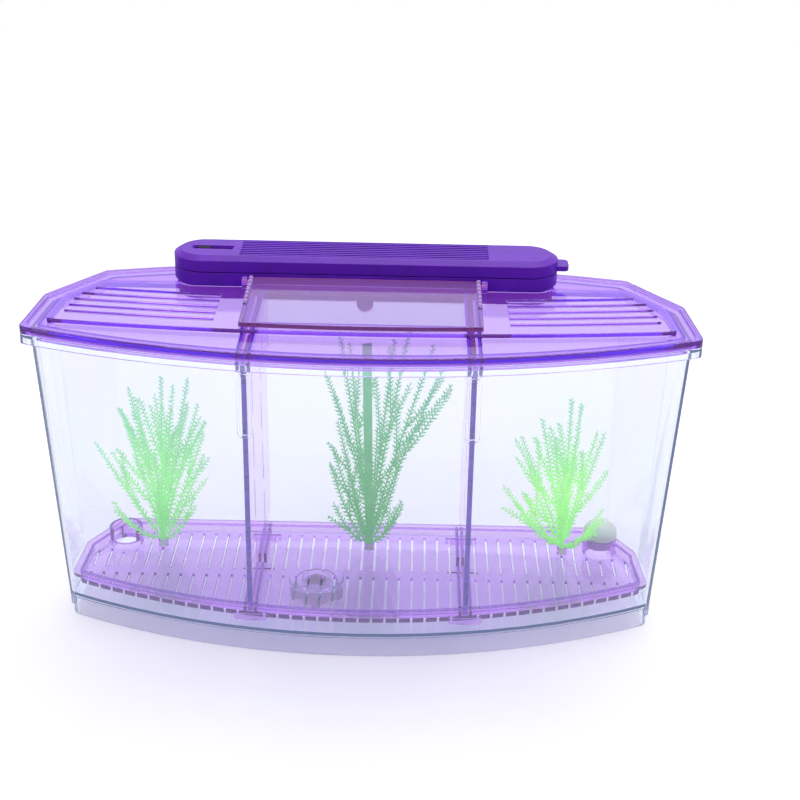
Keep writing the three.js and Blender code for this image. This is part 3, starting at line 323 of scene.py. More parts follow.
def welded(node):
    """A merged copy of a CAD node's mesh, with its flat faces joined."""
    bm = bmesh.new()
    bm.from_mesh(frame["nodes"][node].data)
    bmesh.ops.remove_doubles(bm, verts=bm.verts, dist=WELD)
    bmesh.ops.dissolve_limit(bm, angle_limit=FLAT_TURN, verts=bm.verts, edges=bm.edges)
    return bm


def reach_between(edge, other):
    """The least distance between two edges of one flat face."""
    pairs = [(vert.co, other) for vert in edge.verts] + [(vert.co, edge) for vert in other.verts]
    gaps = []
    for point, span in pairs:
        start, end = (vert.co for vert in span.verts)
        along = end - start
        share = min(max((point - start).dot(along) / along.length_squared, 0), 1)
        gaps.append((point - start - share * along).length)
    return min(gaps)


def room_beside(edge):
    """How far an edge can be rounded on its faces before it meets their other edges."""
    start, end = (vert.co for vert in edge.verts)
    heading = (end - start).normalized()
    room = []
    for face in edge.link_faces:
        for other in face.edges:
            if other is edge:
                continue
            if not set(edge.verts) & set(other.verts):
                room.append(reach_between(edge, other))
            elif abs((other.verts[1].co - other.verts[0].co).normalized().dot(heading)) < CORNER_COSINE:
                room.append(other.calc_length())
    return min(room, default=0.0)


def mark_rounded_edges(bm, radius, under):
    """Weights that give every outer edge the radius, or less where the faces at its ends are narrow or on an
    underside; inner edges, and those without room, stay crisp."""
    weight = bm.edges.layers.float.new("bevel_weight_edge")
    creased = [edge for edge in bm.edges if edge.calc_face_angle() > SHARP_TURN]
    room = {edge: room_beside(edge) for edge in creased if edge.is_convex}
    for edge in room:
        near = min(room[other] for vert in edge.verts for other in vert.link_edges if other in room)
        limit = under if any(face.normal.z < -SOFT_COSINE for face in edge.link_faces) else 1.0
        share = min(limit, ROOM_SHARE * near / radius)
        if share > LEAST_SHARE:
            edge[weight] = share


def turned(outline, place, steps):
    """A body made by turning an outline of (radius, height) pairs about its axis, then put in its place."""
    bm = bmesh.new()
    verts = [bm.verts.new((radius, 0, height)) for radius, height in outline]
    edges = [bm.edges.new(pair) for pair in zip(verts, verts[1:])]
    bmesh.ops.spin(
        bm, geom=verts + edges, cent=(0, 0, 0), axis=(0, 0, 1), angle=FULL_TURN, steps=steps, use_merge=True
    )
    bmesh.ops.remove_doubles(bm, verts=bm.verts, dist=WELD)
    bmesh.ops.recalc_face_normals(bm, faces=bm.faces)
    place = place if isinstance(place, Matrix) else Matrix.Translation(place)
    bmesh.ops.transform(bm, matrix=place, verts=bm.verts)
    return bm


def arc_angles(turn, steps):
    """The angles of a turn in even steps, from nothing to the whole of it."""
    return [turn * step / steps for step in range(steps + 1)]


def ring_outline(radius, height, cord):
    """The round section of a ring, closed."""
    turns = arc_angles(FULL_TURN, 16)
    return [(radius + cord * math.cos(turn), height + cord * math.sin(turn)) for turn in turns]


def middle_of(node):
    """The middle of a node's box, on the ground."""
    low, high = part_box(node)
    return Vector(((low.x + high.x) / 2, (low.y + high.y) / 2, 0))


def lathed(name, outline, place, material, node):
    """A turned piece with softened edges, which rides with a node."""
    bm = turned(outline, place, LATHE_STEPS)
    edges = [edge for edge in bm.edges if edge.is_manifold and edge.calc_face_angle() > LATHE_CORNER]
    bmesh.ops.bevel(
        bm, geom=edges, offset=sizes().thin_radius, segments=2, profile=0.5, affect="EDGES", material=-1,
        clamp_overlap=True,
    )
    return new_piece(name, bm, body_of(node), material)


def body_of(node):
    return next(body for body, members in frame["record"]["behaviour"]["bodies"].items() if node in members)


def settle_normals(mesh):
    """Corner normals that keep flat faces flat up to their rounded edges: each is the mean, by area, of the
    faces round its vertex that turn little from its own face."""
    around = [[] for _ in mesh.vertices]
    for face in mesh.polygons:
        for index in face.vertices:
            around[index].append(face)
    normals = []
    for face in mesh.polygons:
        for index in face.vertices:
            near = (other for other in around[index] if other.normal.dot(face.normal) > SOFT_COSINE)
            normals.append(sum((other.normal * other.area for other in near), Vector()).normalized())
    mesh.normals_split_custom_set(normals)


def dressed(node, name, material, radius, under=1.0):
    """The CAD node with rounded edges and smooth curves, in its place."""
    bm = welded(node)
    mark_rounded_edges(bm, radius, under)
    piece = new_piece(name, bm, body_of(node), material)
    edges = piece.modifiers.new("moulded_edges", "BEVEL")
    edges.limit_method = "WEIGHT"
    edges.width = radius
    edges.segments = 2
    edges.use_clamp_overlap = False
    sharp_mesh = piece.data
    piece.data = bpy.data.meshes.new_from_object(piece.evaluated_get(bpy.context.evaluated_depsgraph_get()))
    piece.modifiers.clear()
    bpy.data.meshes.remove(sharp_mesh)
    piece.data.name = name
    piece.data.shade_smooth()
    settle_normals(piece.data)
    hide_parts(node)
    return piece


# Plants: the tip of each frond, as shares of half the plant's width, of its depth and of its height
FROND_SHARES = {
    "plant_left": (
        (-0.43, 0.1, 0.94), (-0.3, -0.35, 0.91), (0.09, 0.2, 1), (0.3, -0.2, 0.98), (0.52, 0.15, 1),
        (0.54, -0.4, 0.89), (0.65, 0.3, 0.83), (0.74, -0.15, 0.55), (0.72, 0.35, 0.65), (0.57, -0.5, 0.3),
        (-1, -0.1, 0.61), (-0.54, 0.4, 0.71), (-0.74, -0.5, 0.26), (0, -0.8, 0.6), (0.1, 0.8, 0.7),
    ),
    "plant_centre": (
        (-0.48, 0.1, 0.46), (-0.31, -0.4, 0.46), (-0.52, 0.3, 0.37), (-0.46, -0.2, 0.2), (-0.41, 0, 0.59),
        (0.38, 0.2, 0.36), (0.42, -0.3, 0.22), (0.44, 0.1, 0.18), (-0.4, 0.4, 0.98), (-0.28, 0.9, 0.9),
        (0.3, 0.3, 0.95), (0.5, 0.7, 1), (0.8, 0.5, 0.92), (0.96, 0.9, 0.84), (0.1, -0.8, 0.6),
    ),
    "plant_right": (
        (-1, 0.1, 0.4), (-0.66, -0.3, 0.38), (-0.6, 0.35, 0.52), (-0.77, -0.1, 0.76), (-0.44, 0.2, 0.85),
        (-0.24, -0.4, 0.76), (0, 0.1, 1), (0.15, -0.2, 0.99), (0.46, 0.3, 0.77), (0.55, -0.2, 0.8),
        (0.58, -0.9, 0.34), (0.46, -0.9, 0.22), (-0.8, 0.4, 0.27), (0.1, 0.8, 0.6), (-0.1, -0.8, 0.5),
    ),
}
# Fronds end a little inside the solid's box, and spread this far to the front and back
WIDTH_SHARE, HEIGHT_SHARE = 0.97, 0.98
DEPTH_SPREAD = 9 * MM
SOCKET_DEPTH = 2.9 * MM
# Trunks: how high they rise, how far they lean, and how far aside each strand ends, in millimetres
TRUNK_RISE_SHARES = {"plant_left": 0.3, "plant_centre": 0.93, "plant_right": 0.3}
TRUNK_LEAN = 1.3 * MM
TRUNK_STRANDS = {"plant_left": (0,), "plant_centre": (-0.9, -0.05, 0.85), "plant_right": (0,)}
STRAND_DEPTH_SHARE = 0.4
# Stems: their radius, each kind's thickness as a multiple of it, taper, and steps along them
STEM_RADIUS = 0.6 * MM
TRUNK_THICKNESS, TRUNK_TAPER, TRUNK_STEPS = 2.0, 0.3, 6
FROND_THICKNESS, FROND_TAPER, FROND_STEPS = 0.65, 0.6, 10
SPRIG_THICKNESS, SPRIG_TAPER, SPRIG_STEPS = 0.45, 0.6, 6
# Tall fronds bend outwards and low ones upwards, and sprigs fork off them at one or two of these steps
BEND_LEAST, BEND_BY_RISE, BEND_STRAY, SPRIG_BEND = 0.35, 0.85, 0.08, 0.9
FORK_STEPS = (3, 4, 5, 6)
TALL_SHARE = 0.55
FORK_LEAN, FORK_ROLL = (0.2, 0.42), 0.3
SPRIG_SHARES = (0.62, 0.86)
# Leaflets: the bare share at the root, how they shrink and crowd to the tip, and how far they stray
FROND_BARE_SHARE, SPRIG_BARE_SHARE = 0.1, 0.08
SHRINK_SHARE, CROWD_SHARE, LAST_SHARE = 0.3, 0.2, 0.7
FROND_ROLL, PAIR_ROLL = 0.35, 0.4
LEAFLET_SIZES = (0.85, 1.15)
LEAFLET_LEANS = (0.9, 1.3)
STAGGER_SHARE = 0.22


def leaflet_mesh():
    """One bud-shaped leaflet along +Z, one unit long and widest halfway."""
    foot, belly, half = 0.1, 0.155, 0.5
    bm = bmesh.new()
    bmesh.ops.create_cone(bm, segments=5, radius1=foot, radius2=belly, depth=half, cap_ends=False)
    bmesh.ops.translate(bm, verts=bm.verts, vec=(0, 0, half / 2))
    rim = [edge for edge in bm.edges if all(vert.co.z > half / 2 for vert in edge.verts)]
    tips = bmesh.ops.extrude_edge_only(bm, edges=rim)["geom"]
    tip_verts = [item for item in tips if isinstance(item, bmesh.types.BMVert)]
    bmesh.ops.translate(bm, verts=tip_verts, vec=(0, 0, half))
    bmesh.ops.pointmerge(bm, verts=tip_verts, merge_co=(0, 0, 1))
    root = [edge for edge in bm.edges if all(vert.co.z < half / 2 for vert in edge.verts)]
    bmesh.ops.contextual_create(bm, geom=root)
    mesh = bpy.data.meshes.new("leaflet")
    bm.to_mesh(mesh)
    bm.free()
    return mesh


def frond_points(root, tip, bend, steps):
    """Points of a frond: a bend over 1 leans out towards the tip, one under 1 turns upright there."""
    points = []
    for step in range(steps + 1):
        share = step / steps
        lean = share ** bend
        points.append(Vector((
            root.x + (tip.x - root.x) * lean,
            root.y + (tip.y - root.y) * lean,
            root.z + (tip.z - root.z) * share,
        )))
    return points


def place_leaflets(bm, leaflet, points, start_share, length, pitch, draw):
    """Pairs of leaflets along a frond, which turn round it and shrink towards its tip."""
    total = sum((b - a).length for a, b in zip(points, points[1:]))
    done, target = 0.0, total * start_share
    turn = draw.uniform(-FROND_ROLL, FROND_ROLL)
    for a, b in zip(points, points[1:]):
        span = (b - a).length
        while target <= done + span:
            place = a.lerp(b, (target - done) / span)
            along = (b - a).normalized()
            share = target / total
            size = length * (1.0 - SHRINK_SHARE * share ** 2) * draw.uniform(*LEAFLET_SIZES)
            across = along.cross(Vector((0, 1, 0))).normalized()
            for side in (-1, 1):
                roll = turn + draw.uniform(-PAIR_ROLL, PAIR_ROLL)
                out = Matrix.Rotation(roll, 4, along) @ (side * across)
                heading = (along + out * draw.uniform(*LEAFLET_LEANS)).normalized()
                spot = place + along * (side * STAGGER_SHARE * pitch)
                matrix = Matrix.Translation(spot) @ heading.to_track_quat("Z", "Y").to_matrix().to_4x4()
                matrix = matrix @ Matrix.Scale(size, 4)
                leaflet.transform(matrix)
                bm.from_mesh(leaflet)
                leaflet.transform(matrix.inverted())
            target += pitch * (1.0 - CROWD_SHARE * share)
        done += span
    end = Matrix.Translation(points[-1]) @ along.to_track_quat("Z", "Y").to_matrix().to_4x4()
    end = end @ Matrix.Scale(LAST_SHARE * length, 4)
    leaflet.transform(end)
    bm.from_mesh(leaflet)
    leaflet.transform(end.inverted())


def stem_tubes(paths, radius, roundness=1):
    """Round stems as a mesh, each from its points, its multiple of the radius and its taper."""
    curve = bpy.data.curves.new("stems", "CURVE")
    curve.dimensions = "3D"
    curve.bevel_depth = radius
    curve.bevel_resolution = roundness
    curve.use_fill_caps = True
    curve.resolution_u = 1
    for points, thickness, taper in paths:
        spline = curve.splines.new("POLY")
        spline.points.add(len(points) - 1)
        for index, (target, point) in enumerate(zip(spline.points, points)):
            target.co = (*point, 1)
            target.radius = thickness * (1 - taper * index / (len(points) - 1))
    holder = bpy.data.objects.new("stems", curve)
    mesh = bpy.data.meshes.new_from_object(holder)
    bpy.data.objects.remove(holder)
    bpy.data.curves.remove(curve)
    # The caps come loose from their tubes, so each end is joined
    bm = bmesh.new()
    bm.from_mesh(mesh)
    bmesh.ops.remove_doubles(bm, verts=bm.verts, dist=WELD)
    bmesh.ops.recalc_face_normals(bm, faces=bm.faces)
    bm.to_mesh(mesh)
    bm.free()
    return mesh


def foot_of(node):
    """The middle of a plant's lowest face, which is set in its socket."""
    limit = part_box(node)[0].z + 0.2 * MM
    near = [vert.co for vert in frame["nodes"][node].data.vertices if vert.co.z < limit]
    return sum(near, Vector()) / len(near)


def grow_plant(node, name, material, seed):
    """A moulded water plant of fishbone fronds, some of them forked, on a plug in its socket."""
    draw = random.Random(seed)
    low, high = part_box(node)
    foot = foot_of(node)
    root = foot + Vector((0, 0, SOCKET_DEPTH))
    half_width = max(foot.x - low.x, high.x - foot.x)
    reach = high.z - root.z
    crown = root + Vector((-TRUNK_LEAN, 0, TRUNK_RISE_SHARES[node] * reach))
    paths = [([foot, root], TRUNK_THICKNESS, 0)]
    for aside in TRUNK_STRANDS[node]:
        apart = Vector((aside, STRAND_DEPTH_SHARE * aside, 0)) * MM
        shares = [step / TRUNK_STEPS for step in range(TRUNK_STEPS + 1)]
        strand = [root.lerp(crown, share) + apart * math.sqrt(share) for share in shares]
        paths.append((strand, TRUNK_THICKNESS, TRUNK_TAPER))
    fronds = []
    for side, deep, rise in FROND_SHARES[node]:
        tip = root + Vector((
            side * half_width * WIDTH_SHARE, deep * DEPTH_SPREAD, rise * reach * HEIGHT_SHARE
        ))
        bend = BEND_LEAST + BEND_BY_RISE * rise + draw.uniform(-BEND_STRAY, BEND_STRAY)
        points = frond_points(root, tip, bend, FROND_STEPS)
        fronds.append((points, FROND_BARE_SHARE))
        paths.append((points, FROND_THICKNESS, FROND_TAPER))
        for start in draw.sample(FORK_STEPS, 2 if rise > TALL_SHARE else 1):
            lean = draw.choice((-1, 1)) * draw.uniform(*FORK_LEAN)
            ahead = (points[-1] - points[start]) * draw.uniform(*SPRIG_SHARES)
            roll = Matrix.Rotation(draw.uniform(-FORK_ROLL, FORK_ROLL), 3, "X")
            end = points[start] + Matrix.Rotation(lean, 3, "Y") @ roll @ ahead
            end.x = min(max(end.x, low.x), high.x)
            sprig = frond_points(points[start], end, SPRIG_BEND, SPRIG_STEPS)
            fronds.append((sprig, SPRIG_BARE_SHARE))
            paths.append((sprig, SPRIG_THICKNESS, SPRIG_TAPER))
    bm = bmesh.new()
    stems = stem_tubes(paths, STEM_RADIUS)
    bm.from_mesh(stems)
    bpy.data.meshes.remove(stems)
    leaflet = leaflet_mesh()
    look = sizes()
    for points, start in fronds:
        place_leaflets(bm, leaflet, points, start, look.leaflet_length, look.leaflet_pitch, draw)
    bpy.data.meshes.remove(leaflet)
    plant = new_piece(name, bm, body_of(node), material)
    reach_share = plant.data.attributes.new("reach", "FLOAT", "POINT")
    values = [min((vert.co - root).length / reach, 1.0) for vert in plant.data.vertices]
    reach_share.data.foreach_set("value", values)
    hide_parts(node)
    return plant


def soft_leaf(name, deep, pale, tip):
    """Soft polyethylene, moulded thin: matt-satin, lets light through and fades towards the tips. It also
    gives off a painted glow in its own colour, an even emission which keeps the inner leaves bright."""
    material, tree, output = new_material(name)
    root_end, leaf_start, dimmer_green = 0.05, 0.4, (0.86, 0.93, 0.84)
    reach = add_node(tree, "ShaderNodeAttribute", {"attribute_name": "reach"}).outputs["Fac"]
    mottle = object_noise(tree, 6 * MM)
    tone = add_node(tree, "ShaderNodeValToRGB", {}, {"Fac": reach})
    ramp = tone.color_ramp
    ramp.elements[0].position, ramp.elements[0].color = root_end, rgba(deep)
    ramp.elements[1].position, ramp.elements[1].color = 1.0, rgba(tip)
    middle = ramp.elements.new(leaf_start)
    middle.color = rgba(pale)
    shade = add_node(
        tree,
        "ShaderNodeMix",
        {"data_type": "RGBA", "blend_type": "MULTIPLY", 7: rgba(dimmer_green)},
        {0: spread(tree, mottle, 0.0, 0.8), 6: tone.outputs["Color"]},
    ).outputs[2]
    # The emission is painted light: the leaves glow in their own colour, whatever light falls on them
    shell = add_node(
        tree,
        "ShaderNodeBsdfPrincipled",
        {"Roughness": 0.42, "IOR": 1.5, "Emission Strength": LEAF_PAINTED_GLOW},
        {"Base Color": shade, "Emission Color": shade},
    )
    glow = add_node(tree, "ShaderNodeBsdfTranslucent", {}, {"Color": shade})
    both = add_node(
        tree, "ShaderNodeMixShader", {"Fac": 0.5}, {1: shell.outputs["BSDF"], 2: glow.outputs["BSDF"]}
    )
    tree.links.new(both.outputs["Shader"], output.inputs["Surface"])
    return material


# Operators
class BREEDINGBOX_OT_stage(bpy.types.Operator):
    """Sets the camera, the pale floor and the soft studio light"""

    bl_idname = "breedingbox.stage"
    bl_label = "Stage"

    def execute(self, context):
        self.add_camera(context.scene)
        self.add_floor(context.scene)
        self.add_lamps(context.scene)
        self.light_world(context.scene)
        context.scene.view_settings.view_transform = "Standard"
        for bounces in ("max_bounces", "transmission_bounces", "transparent_max_bounces"):
            setattr(context.scene.cycles, bounces, WALLS_IN_LINE)
        return {"FINISHED"}

    def add_camera(self, scene):
        """The camera stands where the photographer's did."""
        data = bpy.data.cameras.new("camera")
        data.sensor_width = SENSOR
        data.lens = LENS
        data.shift_x, data.shift_y = CAMERA_SHIFT
        data.clip_start, data.clip_end = NEAR, FAR
        camera = bpy.data.objects.new("camera", data)
        scene.collection.objects.link(camera)
        yaw, pitch, roll = CAMERA_YAW, CAMERA_PITCH, CAMERA_ROLL
        ahead = Vector((math.sin(yaw) * math.cos(pitch), math.cos(yaw) * math.cos(pitch), -math.sin(pitch)))
        level = Vector((math.cos(yaw), -math.sin(yaw), 0))
        above = level.cross(ahead)
        right = math.cos(roll) * level + math.sin(roll) * above
        up = -math.sin(roll) * level + math.cos(roll) * above
        facing = Matrix((right, up, -ahead)).transposed().to_4x4()
        camera.matrix_world = Matrix.Translation(CAMERA_PLACE) @ facing
        scene.camera = camera

    def add_floor(self, scene):
        """A seamless table, wider than the eye sees."""
        bm = bmesh.new()
        bmesh.ops.create_grid(bm, x_segments=1, y_segments=1, size=TABLE_HALF_WIDTH)
        mesh = bpy.data.meshes.new("table_top")
        bm.to_mesh(mesh)
        bm.free()
        floor = bpy.data.objects.new("table_top", mesh)
        scene.collection.objects.link(floor)
        mesh.materials.append(self.table_white())

    def table_white(self):
        """Matt white laminate: near white to the eye and in glass, with the box's soft shadow on it."""
        material, tree, output = new_material("matt_white_table")
        path = add_node(tree, "ShaderNodeLightPath")
        within = add_node(
            tree,
            "ShaderNodeMath",
            {"operation": "MAXIMUM"},
            {0: path.outputs["Is Transmission Ray"], 1: path.outputs["Is Glossy Ray"]},
        ).outputs["Value"]
        within = add_node(
            tree, "ShaderNodeMath", {"operation": "MULTIPLY", 1: TABLE_GLOW_WITHIN}, {0: within}
        ).outputs["Value"]
        glow = add_node(
            tree,
            "ShaderNodeMath",
            {"operation": "MULTIPLY_ADD", 1: TABLE_GLOW},
            {0: path.outputs["Is Camera Ray"], 2: within},
        ).outputs["Value"]
        shell = add_node(
            tree,
            "ShaderNodeBsdfPrincipled",
            {"Base Color": rgba(linear("#ECECED")), "Roughness": 0.8, "Specular IOR Level": 0.1,
             "Emission Color": WHITE},
            {"Emission Strength": glow},
        )
        # Far from the box the table fades into the white behind it
        place = add_node(tree, "ShaderNodeTexCoord").outputs["Object"]
        reach = add_node(tree, "ShaderNodeVectorMath", {"operation": "LENGTH"}, {0: place}).outputs["Value"]
        far = add_node(
            tree,
            "ShaderNodeMapRange",
            {"interpolation_type": "SMOOTHSTEP", 1: FADE_START, 2: FADE_END},
            {0: reach},
        ).outputs["Result"]
        seen = add_node(
            tree,
            "ShaderNodeMath",
            {"operation": "MAXIMUM"},
            {0: path.outputs["Is Transmission Ray"], 1: path.outputs["Is Camera Ray"]},
        ).outputs["Value"]
        share = add_node(
            tree, "ShaderNodeMath", {"operation": "MULTIPLY"}, {0: far, 1: seen}
        ).outputs["Value"]
        white = add_node(tree, "ShaderNodeEmission", {"Color": WHITE, "Strength": 1.0})
        faded = add_node(
            tree,
            "ShaderNodeMixShader",
            {},
            {0: share, 1: shell.outputs["BSDF"], 2: white.outputs["Emission"]},
        )
        tree.links.new(faded.outputs["Shader"], output.inputs["Surface"])
        return material

    def add_lamps(self, scene):
        """A wide overhead softbox and two weaker ones at the sides."""
        # Name, watts, width and depth, and place
        lamps = (
            ("overhead_softbox", 9.6, (1.1, 0.9), (0.1, 0.5, 1.3)),
            ("left_softbox", 1.0, (0.35, 0.45), (-1.1, -0.7, 0.9)),
            ("right_softbox", 1.2, (0.35, 0.45), (1.25, -0.2, 0.8)),
        )
        for name, power, (width, depth), place in lamps:
            data = bpy.data.lights.new(name, "AREA")
            data.shape = "RECTANGLE"
            data.size = width
            data.size_y = depth
            data.energy = power
            lamp = bpy.data.objects.new(name, data)
            scene.collection.objects.link(lamp)
            lamp.location = place
            lamp.rotation_euler = (LAMP_AIM - Vector(place)).to_track_quat("-Z", "Y").to_euler()

    def light_world(self, scene):
        """White to the eye and in glass, dimmer as a light on the box, and a darker ceiling in its gloss."""
        world = bpy.data.worlds.new("studio")
        scene.world = world
        world.use_nodes = True
        tree = world.node_tree
        tree.nodes.clear()
        path = add_node(tree, "ShaderNodeLightPath")
        seen = add_node(
            tree,
            "ShaderNodeMath",
            {"operation": "MAXIMUM"},
            {0: path.outputs["Is Camera Ray"], 1: path.outputs["Is Glossy Ray"]},
        ).outputs["Value"]
        seen = add_node(
            tree,
            "ShaderNodeMath",
            {"operation": "MAXIMUM"},
            {0: seen, 1: path.outputs["Is Transmission Ray"]},
        ).outputs["Value"]
        strength = add_node(
            tree, "ShaderNodeMapRange", {"To Min": WORLD_LIGHT, "To Max": 1.0}, {"Value": seen}
        ).outputs["Result"]
        toward = add_node(tree, "ShaderNodeTexCoord").outputs["Generated"]
        height = add_node(tree, "ShaderNodeSeparateXYZ", {}, {0: toward}).outputs["Z"]
        ceiling = add_node(
            tree,
            "ShaderNodeMapRange",
            {"interpolation_type": "SMOOTHSTEP", 1: CEILING_START, 2: CEILING_END, 4: CEILING_SHADE},
            {0: height},
        ).outputs["Result"]
        shade = add_node(
            tree, "ShaderNodeMath", {"operation": "MULTIPLY"}, {0: ceiling, 1: path.outputs["Is Glossy Ray"]}
        ).outputs["Value"]
        strength = add_node(
            tree, "ShaderNodeMath", {"operation": "SUBTRACT"}, {0: strength, 1: shade}
        ).outputs["Value"]
        light = add_node(
            tree, "ShaderNodeBackground", {"Color": WHITE}, {"Strength": strength}
        ).outputs["Background"]
        add_node(tree, "ShaderNodeOutputWorld", {}, {"Surface": light})


class BREEDINGBOX_OT_tank(bpy.types.Operator):
    """Makes the clear tank and its two slotted dividers"""

    bl_idname = "breedingbox.tank"
    bl_label = "Tank and dividers"

    def execute(self, context):
        look = finishes()
        # Moulded styrene-acrylonitrile, polished mould: crisp gloss, invisible face on, slate blue edge on,
        # from the tint of a long run and from a painted slate edge glow
        clear = tinted_clear(
            "clear_styrene_moulded", look.clear_tint, look.clear_run, 1.5, 0.0, 0.03, 0.02 * MM, 0.0,
            look.clear_painted_glow,
        )
        dressed("tank", "tank_walls", clear, sizes().edge_radius)
        # The same plastic with a trace of purple: pale lavender face on, dark violet along its edges, from
        # its tint and from a painted edge glow
        lavender = tinted_clear(
            "lavender_styrene_dividers", look.divider_tint, look.divider_run, 1.5, 0.0, 0.03, 0.02 * MM, 0.01,
            look.divider_painted_glow,
        )
        for side in ("left", "right"):
            dressed(f"divider_{side}", f"divider_panel_{side}", lavender, sizes().thin_radius)
        return {"FINISHED"}


class BREEDINGBOX_OT_tray(bpy.types.Operator):
    """Makes the purple grating that stands over the tank's floor"""

    bl_idname = "breedingbox.tray"
    bl_label = "Tray"

    def execute(self, context):
        look = finishes()
        # Tinted polystyrene, thin moulding: lavender face on, violet where an edge or rib is seen end on,
        # from its tint and from a painted edge glow
        violet = tinted_clear(
            "violet_styrene_tray", look.tray_tint, look.tray_run, 1.5, 0.01, 0.05, 0.03 * MM, 0.02,
            look.tray_painted_glow,
        )
        dressed("tray", "tray_grating", violet, sizes().thin_radius)
        return {"FINISHED"}


class BREEDINGBOX_OT_plants(bpy.types.Operator):
    """Makes the three plastic plants"""

    bl_idname = "breedingbox.plants"
    bl_label = "Plants"

    def execute(self, context):
        look = finishes()
        plants = (
            ("plant_left", "plant_fronds_left", look.leaf_pale, 11),
            ("plant_centre", "plant_fronds_centre", look.leaf_deep, 23),
            ("plant_right", "plant_fronds_right", look.leaf_yellow, 37),
        )
        for node, name, pale, seed in plants:
            # The leaves are a little darker and bluer near the root
            deep = tuple(share * part for share, part in zip((0.78, 0.94, 0.74), pale))
            leaf = soft_leaf(f"soft_polyethylene_{node}", deep, tuple(pale), tuple(look.leaf_tip))
            grow_plant(node, name, leaf, seed)
        return {"FINISHED"}


class BREEDINGBOX_OT_lid(bpy.types.Operator):
    """Makes the purple lid and its feeding flap"""

    bl_idname = "breedingbox.lid"
    bl_label = "Lid and flap"

    def execute(self, context):
        look = finishes()
        # Tinted styrene-acrylonitrile, polished mould: lavender flats, deep violet along the edges from its
        # tint, and pink there partly from a painted edge glow
        violet = tinted_clear(
            "violet_styrene_lid", look.lid_tint, look.lid_run, 1.5, 0.0, 0.04, 0.03 * MM, 0.02, look.lid_painted_glow
        )
        dressed("lid", "lid_moulding", violet, sizes().lid_radius, 0.3)
        # The same plastic from a matt mould: a light veil over what lies behind it
        veiled = tinted_clear(
            "violet_styrene_flap", look.flap_tint, look.lid_run, 1.5, 0.03, 0.09, 0.03 * MM, 0.07,
            look.flap_painted_glow,
        )
        dressed("feeding_flap", "flap_moulding", veiled, sizes().thin_radius)
        # Rows of beads that show as pale pink points, from the light that they scatter and from a painted
        # glow
        pearl = tinted_clear(
            "violet_styrene_beads", look.lid_tint, look.lid_run, 1.5, 0.0, 0.05, 0.01 * MM, 0.3, look.lid_painted_glow
        )
        self.add_beads(pearl)
        return {"FINISHED"}

    def add_beads(self, material):
        """A bead on every other tooth along the side edges of the flap's rear part, bright from the light
        that it scatters and from a painted glow.
        """
        low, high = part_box("feeding_flap")
        radius, tooth_pitch, count = 0.8 * MM, 1.6 * MM, 7
        cheek, pin_reach = 1.4 * MM, 2.2 * MM
        rise, run, front_top = 2.3 * MM, high.y - 2.0 * MM - low.y, low.z + 1.5 * MM
        bm = bmesh.new()
        for side in (-1, 1):
            edge = (high.x if side > 0 else low.x) - side * (pin_reach + cheek / 2)
            for index in range(count):
                y = high.y - tooth_pitch * (2 * index + 1)
                z = front_top + radius / 3 + rise * (y - low.y) / run
                bead = bmesh.ops.create_uvsphere(bm, u_segments=16, v_segments=10, radius=radius)["verts"]
                bmesh.ops.scale(bm, verts=bead, vec=(1.1, 1, 1))
                bmesh.ops.translate(bm, verts=bead, vec=(edge, y, z))
        new_piece("flap_beads", bm, "feeding_flap", material)


class BREEDINGBOX_OT_light(bpy.types.Operator):
    """Makes the light bar's shells, lens and switch"""

    bl_idname = "breedingbox.light"
    bl_label = "Light bar"

    def execute(self, context):
        look = finishes()
        dark = tuple(0.8 * part for part in look.bar_colour)
        # Moulded ABS in solid violet, fine-grained mould: satin, with broad soft highlights
        shells = moulded("satin_abs_violet", look.bar_colour, dark, 0.4, 0.52)
        dressed("light_case", "bar_case", shells, sizes().edge_radius)
        dressed("light_cover", "bar_cover", shells, sizes().thin_radius)
        # Clear polycarbonate with a light grain, which softens the lamps behind it
        clear = tinted_clear(
            "clear_polycarbonate_lens", look.clear_tint, look.clear_run, 1.585, 0.05, 0.12, 0.02 * MM, 0.03,
            look.clear_painted_glow,
        )
        dressed("light_lens", "bar_lens", clear, sizes().thin_radius)
        # Black ABS, moulded and lightly grained: nearly matt, with a weak highlight
        black = moulded(
            "black_abs_moulded", linear("#141216"), linear("#0A090C"), 0.4, 0.55,
            **{"Specular IOR Level": 0.3},
        )
        dressed("switch_knob", "switch_slider", black, sizes().thin_radius)
        dressed("switch_body", "switch_housing", black, sizes().thin_radius)
        return {"FINISHED"}


